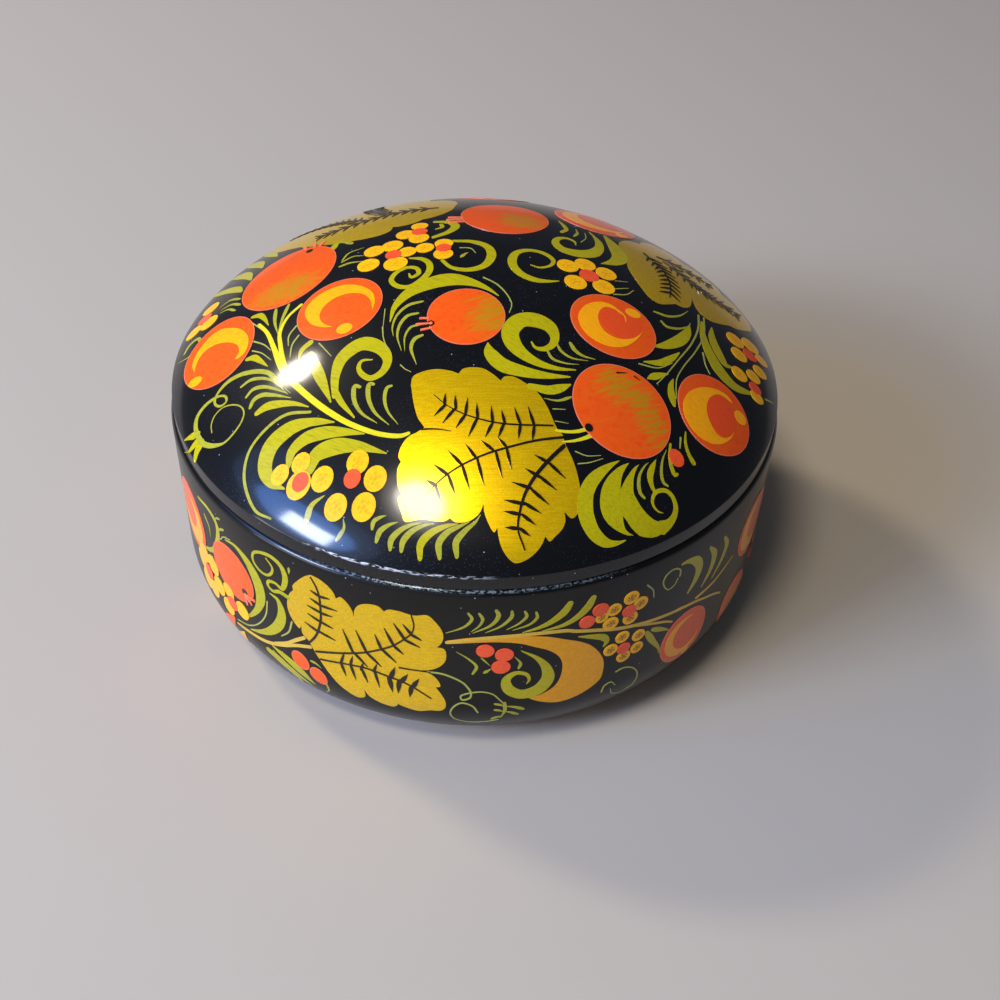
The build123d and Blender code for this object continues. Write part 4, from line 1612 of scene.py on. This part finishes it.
BAND_HAIRS: tuple[tuple[float, tuple[Point, ...]], ...] = (
    (0.6, ((-38.5, 27.7), (-39.3, 23.7), (-41.8, 19.3), (-45, 16.4), (-48.6, 15))),
    (0.7, ((-32.9, 26), (-33.9, 22.7), (-35.8, 20.3))),
    (0.5, ((-50.8, 34.7), (-49.5, 36.3), (-47.3, 37.2))),
    (0.7, ((-7, 23.5), (-4.5, 23.3), (-2.3, 22.3), (-0.7, 21), (0.3, 19.3), (0.6, 18.3), (0.4, 17),
           (-0.9, 16.4), (-1.2, 17.4), (-0.1, 18.2), (2.5, 18.7), (4.4, 18), (5.7, 16.3), (6.6, 15))),
    (0.6, ((1.9, 12.7), (0.9, 14.7), (-1, 15.5), (-2.4, 14.3), (-3, 12.3), (-2.4, 10.3), (-1, 9.2), (0.9, 8.6),
           (4.1, 9), (5.7, 9.7))),
    (0.6, ((39, 36.7), (38.9, 38.3), (37.3, 39.5), (35.7, 39), (35.1, 37.3), (36.6, 34.7), (37.9, 35),
           (38.6, 36.4))),
    (0.6, ((27.4, 17.7), (29, 18), (30.9, 17), (32.2, 15), (32.4, 13), (31.9, 11.3))),
    (0.5, ((24.9, 13), (25.3, 14.7), (26.6, 15.2), (27.6, 13.8))),
    (0.5, ((31.9, 11.3), (29.6, 10.2), (27.4, 11.2), (26.8, 13))),
    (0.5, ((31.6, 38.6), (33, 36.6), (33.4, 34.6))),
)
BAND_BERRIES: tuple[tuple[float, ...], ...] = (
    (-48.3, 28.2, 6.6, 6.3, 0), (43.2, 18.2, 6.3, 6.6, 0), (-64.5, 30, 7, 7.6, 0), (65, 31, 7, 7, 0),
    (61, 14, 5.8, 6, 0), (-31.8, 16.2, 1.9, 2.3, 30), (-28, 14, 1.8, 2.2, 30),
)
BAND_OLIVE: tuple[tuple[float, ...], ...] = ((61, 14, 5.5, 5.5, 0),)
BAND_CRESCENTS: tuple[tuple[tuple[float, float, float], tuple[float, float, float]], ...] = (
    ((43, 18.2, 5), (44.1, 18.6, 4.1)),
    ((-64.2, 29.6, 5.6), (-65.6, 31.2, 4.3)),
    ((64.6, 31, 5.6), (66.1, 31.8, 4.4)),
)
BAND_GLINTS: tuple[tuple[float, ...], ...] = ((44.4, 12.8, 1.0, 0.9), (-60.4, 32.6, 1.1, 1.2), (66, 25.6, 1.1, 1.0))
BAND_FRUIT: tuple[tuple[float, float, float], ...] = (
    (-55.9, 23.7, 2.3), (-54.3, 19.5, 2.2), (-59.9, 24, 2.4), (-61.5, 20.8, 2.3), (-60, 16.7, 2.3),
    (-57, 16.5, 2.1), (-50.6, 21.2, 1.9), (-46.5, 19.2, 2.1), (-51.3, 16.5, 2), (23, 34.3, 1.3), (25.3, 35.4, 1.5),
    (28.5, 37, 1.6), (30.6, 34.6, 1.6), (28.8, 31.7, 1.6), (24.9, 32, 1.6), (27.7, 27.1, 1.5),
    (31.2, 25.8, 1.45), (25.6, 24.6, 1.5), (28.5, 21.5, 1.5), (31.2, 22.5, 1.45), (-68.8, 9, 1.9),
    (-72, 7.4, 1.9), (-69.4, 5, 1.8), (-66, 6.4, 1.8),
)
BAND_RED_FRUIT: tuple[tuple[float, float, float], ...] = (
    (-58.4, 19.9, 1.8), (-49.6, 18.7, 1.7), (2.8, 29.9, 1.65), (6.1, 28.7, 1.7), (5.6, 25.5, 1.75),
    (22.6, 36.5, 1.6), (20.3, 34.2, 1.55), (28.4, 33.7, 1.5), (28.3, 23.8, 1.45), (-69, 7, 1.4),
)
BAND_BRIGHT_DABS: tuple[tuple[Paint, tuple[Brush, ...]], ...] = (
    (Paint.FRUIT, ((-47.4, 12, 0.8), (-48.8, 9.2, 3), (-51.6, 6, 1.4))),
    (Paint.BERRIES, ((-50, 14.4, 1), (-52.2, 11.6, 3.4), (-55.4, 8, 1.4))),
)
BAND_REPEATS: tuple[tuple[float, Point, Point], ...] = (
    (0.0, (-80.0, 80.0), (-80.0, 80.0)),
    (120.0, (-50.0, 60.0), (-40.0, 60.0)),
    (-120.0, (-50.0, 42.5), (-50.0, 42.5)),
)


@dataclass
class BandOrnament:
    """Everything painted round the bowl's wall: degrees from the front to the right, and mm up."""

    painter: Painter

    def paint(self) -> list[bpy.types.Object]:
        """Paint the band, whose main spray comes round three times, with a window for the berries."""
        for shift, window, berry_window in BAND_REPEATS:
            self.painter.shift = shift
            self.painter.window = window
            self.leaf()
            self.scrolls()
            self.painter.window = berry_window
            self.berries()
            self.painter.window = window
            self.small_fruit()
            turned = [(x + shift, *rest) for x, *rest in BAND_OLIVE if window[0] <= x <= window[1]]
            self.painter.shades += turned
        return self.painter.finish()

    def leaf(self) -> None:
        """The gold vine leaf and the gold comma on the branch beside it."""
        painter = self.painter
        painter.patch(Paint.LEAVES, smooth_outline(BAND_LEAF))
        painter.patch(Paint.COMMAS, smooth_outline(BAND_COMMA))
        for width, rib in BAND_RIBS:
            painter.pull(Paint.VEINS, width, rib, tail=0.5)
        painter.ticks(BAND_TICKS)
        painter.ticks(BAND_BROAD_TICKS, BROAD_TICK)

    def scrolls(self) -> None:
        """The olive scrolls, fronds, hairlines and branches."""
        for points in BAND_SCROLLS:
            self.painter.stroke(Paint.SCROLLS, points)
        for width, points in BAND_FRONDS:
            paint = Paint.SCROLLS if width > THIN_PULL else Paint.FRONDS
            self.painter.pull(paint, width * BAND_FROND_SHARE, points, tail=0.1, head=0.6)
        for width, points in BAND_HAIRS:
            self.painter.pull(Paint.HAIRS, width * HAIR_SHARE, points, tail=0.6)
        for points in BAND_STEMS:
            self.painter.stroke(Paint.BRANCHES, points)

    def berries(self) -> None:
        """The big berries with their crescents and crowns."""
        painter = self.painter
        for x, y, wide, tall, turn in BAND_BERRIES:
            painter.blob(Paint.RIMS, x, y, wide + RIM, tall + RIM, turn)
            painter.blob(Paint.BERRIES, x, y, wide - RIM, tall - RIM, turn)
        for outer, inner in BAND_CRESCENTS:
            painter.crescent(Paint.CRESCENTS, outer, inner)
        for x, y, wide, tall in BAND_GLINTS:
            painter.blob(Paint.CRESCENTS, x, y, wide, tall)
        painter.blob(Paint.MARKS, -44.7, 25.7, 0.8)
        for end in ((-42.1, 25.3), (-43.1, 23.7), (-44.4, 22.7)):
            painter.pull(Paint.TIPS, 0.7, ((-44.6, 25.2), end), tail=0.8)
        for paint, points in BAND_BRIGHT_DABS:
            painter.stroke(paint, points)

    def small_fruit(self) -> None:
        """The little fruit in their clusters, with dark eyes."""
        for x, y, radius in BAND_FRUIT:
            self.painter.blob(Paint.FRUIT, x, y, radius)
            if x > 0:
                self.painter.blob(Paint.DABS, x, y, 0.68 * radius, 0.56 * radius, DAB_TURN)
                self.painter.stipple(Paint.EYES, x, y, radius)
        for x, y, radius in BAND_RED_FRUIT:
            self.painter.blob(Paint.HEARTS, x, y, radius)


@dataclass(frozen=True)
class Camera:
    """The photograph's viewpoint, in mm and degrees, for a square picture 1000 pixels wide."""

    place: ClassVar[tuple[float, float, float]] = (0.0, -239.769, 225.237)
    pitch: float = 41.689
    yaw: float = -0.607
    roll: float = 1.865
    lens: float = 54.0
    shift_x: float = 0.0157
    shift_y: float = 0.0029

    def build(self) -> bpy.types.Object:
        """Make the camera and set it as the scene's."""
        data = bpy.data.cameras.new("camera")
        data.lens = self.lens
        data.shift_x = self.shift_x
        data.shift_y = self.shift_y
        data.dof.use_dof = False
        data.clip_start = 0.01
        camera = bpy.data.objects.new("camera", data)
        look = (
            Matrix.Rotation(math.radians(self.yaw), 4, "Z")
            @ Matrix.Rotation(math.radians(90 - self.pitch), 4, "X")
            @ Matrix.Rotation(math.radians(self.roll), 4, "Z")
        )
        camera.matrix_world = Matrix.Translation(Vector(self.place) * MM) @ look
        bpy.context.scene.collection.objects.link(camera)
        bpy.context.scene.camera = camera
        return camera


@dataclass(frozen=True)
class SoftLight:
    """A soft box that stands round the object and faces its lid."""

    name: str
    azimuth: float
    elevation: float
    distance: float
    wide: float
    tall: float
    power: float
    colour: str = "#ffffff"
    shape: str = "ELLIPSE"
    aim: ClassVar[tuple[float, float, float]] = (0.0, 0.0, 0.05)

    def build(self) -> bpy.types.Object:
        """Make the lamp."""
        data = bpy.data.lights.new(self.name, "AREA")
        data.shape = self.shape
        data.size = self.wide
        data.size_y = self.tall
        data.energy = self.power
        data.color = to_linear(self.colour)[:3]
        lamp = bpy.data.objects.new(self.name, data)
        a, e = math.radians(self.azimuth), math.radians(self.elevation)
        toward = Vector((math.cos(a) * math.cos(e), math.sin(a) * math.cos(e), math.sin(e)))
        lamp.location = Vector(self.aim) + toward * self.distance
        lamp.rotation_euler = toward.to_track_quat("Z", "Y").to_euler()
        bpy.context.scene.collection.objects.link(lamp)
        return lamp


SOFT_LIGHTS: tuple[SoftLight, ...] = (
    SoftLight("key_light", 146.8, 41.2, 1.2, 0.16, 0.13, 3.4, "#fff2dc"),
    SoftLight("key_light_low", 149.2, 38.4, 1.2, 0.14, 0.15, 2.2, "#fff2dc"),
    SoftLight("top_light", -120.0, 63.0, 1.0, 0.4, 0.3, 0.9, "#fff2de"),
    SoftLight("top_light_core", -120.6, 62.2, 1.0, 0.25, 0.17, 3.7, "#fff6ea"),
    SoftLight("window", -149.0, 28.0, 1.2, 0.36, 0.21, 10.0, "#e2edff", "RECTANGLE"),
    SoftLight("sky_near", -153.0, 31.0, 1.25, 0.85, 0.46, 11.0, "#5a94f4"),
    SoftLight("sky", -156.0, 33.0, 1.3, 1.4, 0.8, 7.0, "#6a86b8"),
    SoftLight("low_light", -148.0, 8.0, 1.4, 0.8, 0.26, 5.2, "#eaf0ff", "RECTANGLE"),
    SoftLight("front_light", -108.0, 12.0, 1.4, 1.1, 0.12, 1.3, "#dce8f4", "RECTANGLE"),
)


@dataclass(frozen=True)
class Studio:
    """A plain pale floor under an even, dim room."""

    floor_size: float = 3.0
    floor_colour: str = "#b4aa9b"
    room_colour: str = "#b4bfd8"
    room_strength: float = 0.14

    def build(self) -> None:
        """Make the floor and the room's light."""
        bm = bmesh.new()
        bmesh.ops.create_circle(bm, cap_ends=True, segments=64, radius=self.floor_size)
        mesh = bpy.data.meshes.new("floor")
        bm.to_mesh(mesh)
        bm.free()
        material, tree = new_material("matt_card")
        close_material(tree, to_linear(self.floor_colour), Roughness=0.85)
        mesh.materials.append(material)
        floor = bpy.data.objects.new("floor", mesh)
        bpy.context.scene.collection.objects.link(floor)
        self.room()

    def room(self) -> None:
        """The room: an even, dim light from all round."""
        world = bpy.data.worlds.new("room")
        bpy.context.scene.world = world
        world.use_nodes = True
        tree = world.node_tree
        tree.nodes.clear()
        light = add_node(
            tree,
            "ShaderNodeBackground",
            {"Color": to_linear(self.room_colour), "Strength": self.room_strength},
        )
        add_node(tree, "ShaderNodeOutputWorld", {"Surface": light.outputs[0]})


@dataclass
class Finishes:
    """All the finishes of the box, made once."""

    gold: bpy.types.Material = field(init=False)
    inside: bpy.types.Material = field(init=False)
    paints: dict[Paint, bpy.types.Material] = field(init=False)

    def __post_init__(self) -> None:
        """Mix every paint."""
        self.inside = TinnedInside().build()
        gold = GoldPowderPaint("gold_powder_paint").build()
        orange_gold = GoldPowderPaint("orange_gold_paint", gold="#ffb20a", deep_gold="#eaa006").build()
        scroll = OilPaint("olive_oil_paint", "#b6a804", "#968a04").build()
        frond = OilPaint("thin_olive_oil_paint", "#a6a02a", "#8a8420", 1.5, 0.4).build()
        hair = OilPaint("pale_olive_hairline", "#a8a64c", "#8c8a3a").build()
        rim = OilPaint("pale_red_ground", "#ea785c", "#e06844").build()
        dab = OilPaint("orange_dab", "#eca204", "#e09204", 0.6, 0.2).build()
        stem = OilPaint("bright_yellow_oil_paint", "#dccc1c", "#c8b410").build()
        branch = OilPaint("straw_oil_paint", "#d8ae3e", "#c4982e").build()
        berry = HatchedOilPaint("berry_red_oil_paint", "#ee560f", "#e2480a").build()
        disc = OilPaint("deep_red_oil_paint", "#ee501e", "#e24414").build()
        fruit = OilPaint("warm_yellow_oil_paint", "#fcba06", "#f0a004", 1.2, 0.6).build()
        crescent = OilPaint("orange_yellow_oil_paint", "#ffaa06", "#f89606", 4.0, 0.6).build()
        dark = OilPaint("dark_umber_line", "#1a1006", "#0c0803").build()
        eye = OilPaint("olive_brown_oil_paint", "#8a6a0c", "#6a5008").build()
        red = OilPaint("soft_red_oil_paint", "#f4562a", "#e2461c", 1.5, 0.5).build()
        tip = OilPaint("pale_red_line", "#fa7a50", "#ee6238").build()
        self.paints = {
            Paint.LEAVES: gold, Paint.COMMAS: orange_gold, Paint.SCROLLS: scroll, Paint.HAIRS: hair,
            Paint.STEMS: stem, Paint.BERRIES: berry, Paint.FRUIT: fruit, Paint.DISCS: disc,
            Paint.CRESCENTS: crescent, Paint.VEINS: dark, Paint.HEARTS: red, Paint.EYES: eye,
            Paint.MARKS: dark, Paint.TIPS: tip, Paint.FRONDS: frond, Paint.RIMS: rim, Paint.DABS: dab,
            Paint.BRANCHES: branch,
        }


@dataclass
class Lid:
    """The domed lid: its turned shell and the ornament on it."""

    shape: LidShape
    finishes: Finishes

    def build(self) -> list[bpy.types.Object]:
        """Make the lid's pieces."""
        return [self.shell(), *self.ornament()]

    def shell(self) -> bpy.types.Object:
        """The turned limewood shell, black outside and gilded in the hollow."""
        shape = self.shape
        corners = (
            RoundedCorner(shape.radius, shape.edge, shape.edge_reach),
            RoundedCorner(shape.radius, shape.seat, shape.lip_reach),
        )
        bm = turned_shell(shape.section(), corners)
        for face in bm.faces:
            middle = face.calc_center_median()
            under = face.normal.z < 0 and middle.z > (shape.rebate_top - 0.01) * MM
            face.material_index = int(under)
        worn_and_glint = WornRingAndGlint(shape.radius, shape.edge, 0.42, -27.0, 1.0, 0.12)
        black = BlackLacquer("lid_black_lacquer", worn_and_glint).build()
        piece = make_piece(bm, "lid_shell", "lid", [black, self.finishes.inside])
        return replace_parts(piece, "lid")

    def ornament(self) -> list[bpy.types.Object]:
        """The painted films on the crown."""
        painter = Painter(self.shape, "lid", "lid", finishes=self.finishes.paints)
        painter.shades = [*LID_OLIVE]
        pieces = LidOrnament(painter).paint()
        berries = next(p for p in pieces if p.name.endswith(Paint.BERRIES.value))
        places = [(v.co.x / MM, v.co.y / MM) for v in berries.data.vertices]
        painter.brush_olive(berries, HatchedOilPaint.attribute, places)
        return pieces


@dataclass
class Bowl:
    """The bowl: its turned shell and the ornament round its wall."""

    shape: BowlShape
    finishes: Finishes

    def build(self) -> list[bpy.types.Object]:
        """Make the bowl's pieces."""
        return [self.shell(), *self.ornament()]

    def shell(self) -> bpy.types.Object:
        """The turned limewood shell, black outside and gilded in the bore."""
        shape = self.shape
        bore = shape.rim_radius - shape.rim_wall
        spigot = bore + shape.spigot_wall
        corners = (
            RoundedCorner(shape.rim_radius, shape.seat, shape.rim_reach),
            RoundedCorner(spigot, shape.spigot_top, shape.spigot_reach),
            RoundedCorner(bore, shape.spigot_top, shape.spigot_reach),
            RoundedCorner(shape.foot_radius, 0.0, shape.foot_reach),
        )
        bm = turned_shell(shape.section(), corners)
        for face in bm.faces:
            middle = face.calc_center_median()
            reach = math.hypot(middle.x, middle.y)
            face.material_index = int(middle.z > 0.5 * MM and reach < (bore + 0.3) * MM)
        # Painted highlight: besides the rubbed edge, this blue-grey ring round the front of the rim stands in for the
        # glint of light along the rounded shoulder.
        worn_and_glint = WornRingAndGlint(shape.rim_radius - 0.7, shape.seat - 0.3, 0.55, -24.0, 22.0, 0.13, 9.0, 0.6)
        # Painted shade: the bowl's black and its dust are set darker than the lid's, so the band reads darker than the
        # crown.
        black = BlackLacquer("bowl_black_lacquer", worn_and_glint, black="#060606", dust="#20242c", primer_and_glint="#69777c", coat_weight=0.46).build()
        piece = make_piece(bm, "bowl_shell", "bowl", [black, self.finishes.inside])
        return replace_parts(piece, "bowl")

    def ornament(self) -> list[bpy.types.Object]:
        """The painted films round the wall."""
        degree = math.radians(1) * self.shape.rim_radius
        painter = Painter(
            self.shape, "bowl", "band", cell=1.2, stretch=degree, finishes=self.finishes.paints
        )
        pieces = BandOrnament(painter).paint()
        berries = next(p for p in pieces if p.name.endswith(Paint.BERRIES.value))
        places = [
            (math.degrees(math.atan2(v.co.x, -v.co.y)), v.co.z / MM) for v in berries.data.vertices
        ]
        painter.brush_olive(berries, HatchedOilPaint.attribute, places)
        return pieces


def main() -> None:
    """Build the box, its studio and the camera."""
    logging.basicConfig(level=logging.INFO, format="%(name)s %(message)s")
    scene = bpy.context.scene
    scene.view_settings.view_transform = "Standard"
    Camera().build()
    Studio().build()
    for light in SOFT_LIGHTS:
        light.build()
    finishes = Finishes()
    lid_low, lid_high = (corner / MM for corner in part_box("lid"))
    bowl_low, bowl_high = (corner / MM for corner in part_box("bowl"))
    spigot_radius = 56.2
    lid = LidShape(
        radius=round(lid_high.x, 2),
        seat=round(lid_low.z, 2),
        top=round(lid_high.z, 2),
        rebate_radius=spigot_radius + 0.3,
        rebate_top=round(bowl_high.z, 2) + 0.6,
    )
    bowl = BowlShape(rim_radius=round(bowl_high.x, 1), spigot_top=round(bowl_high.z, 2))
    for part in (Lid(lid, finishes), Bowl(bowl, finishes)):
        for piece in part.build():
            LOG.info("built %s", piece.name)


if __name__ == "__main__":
    main()
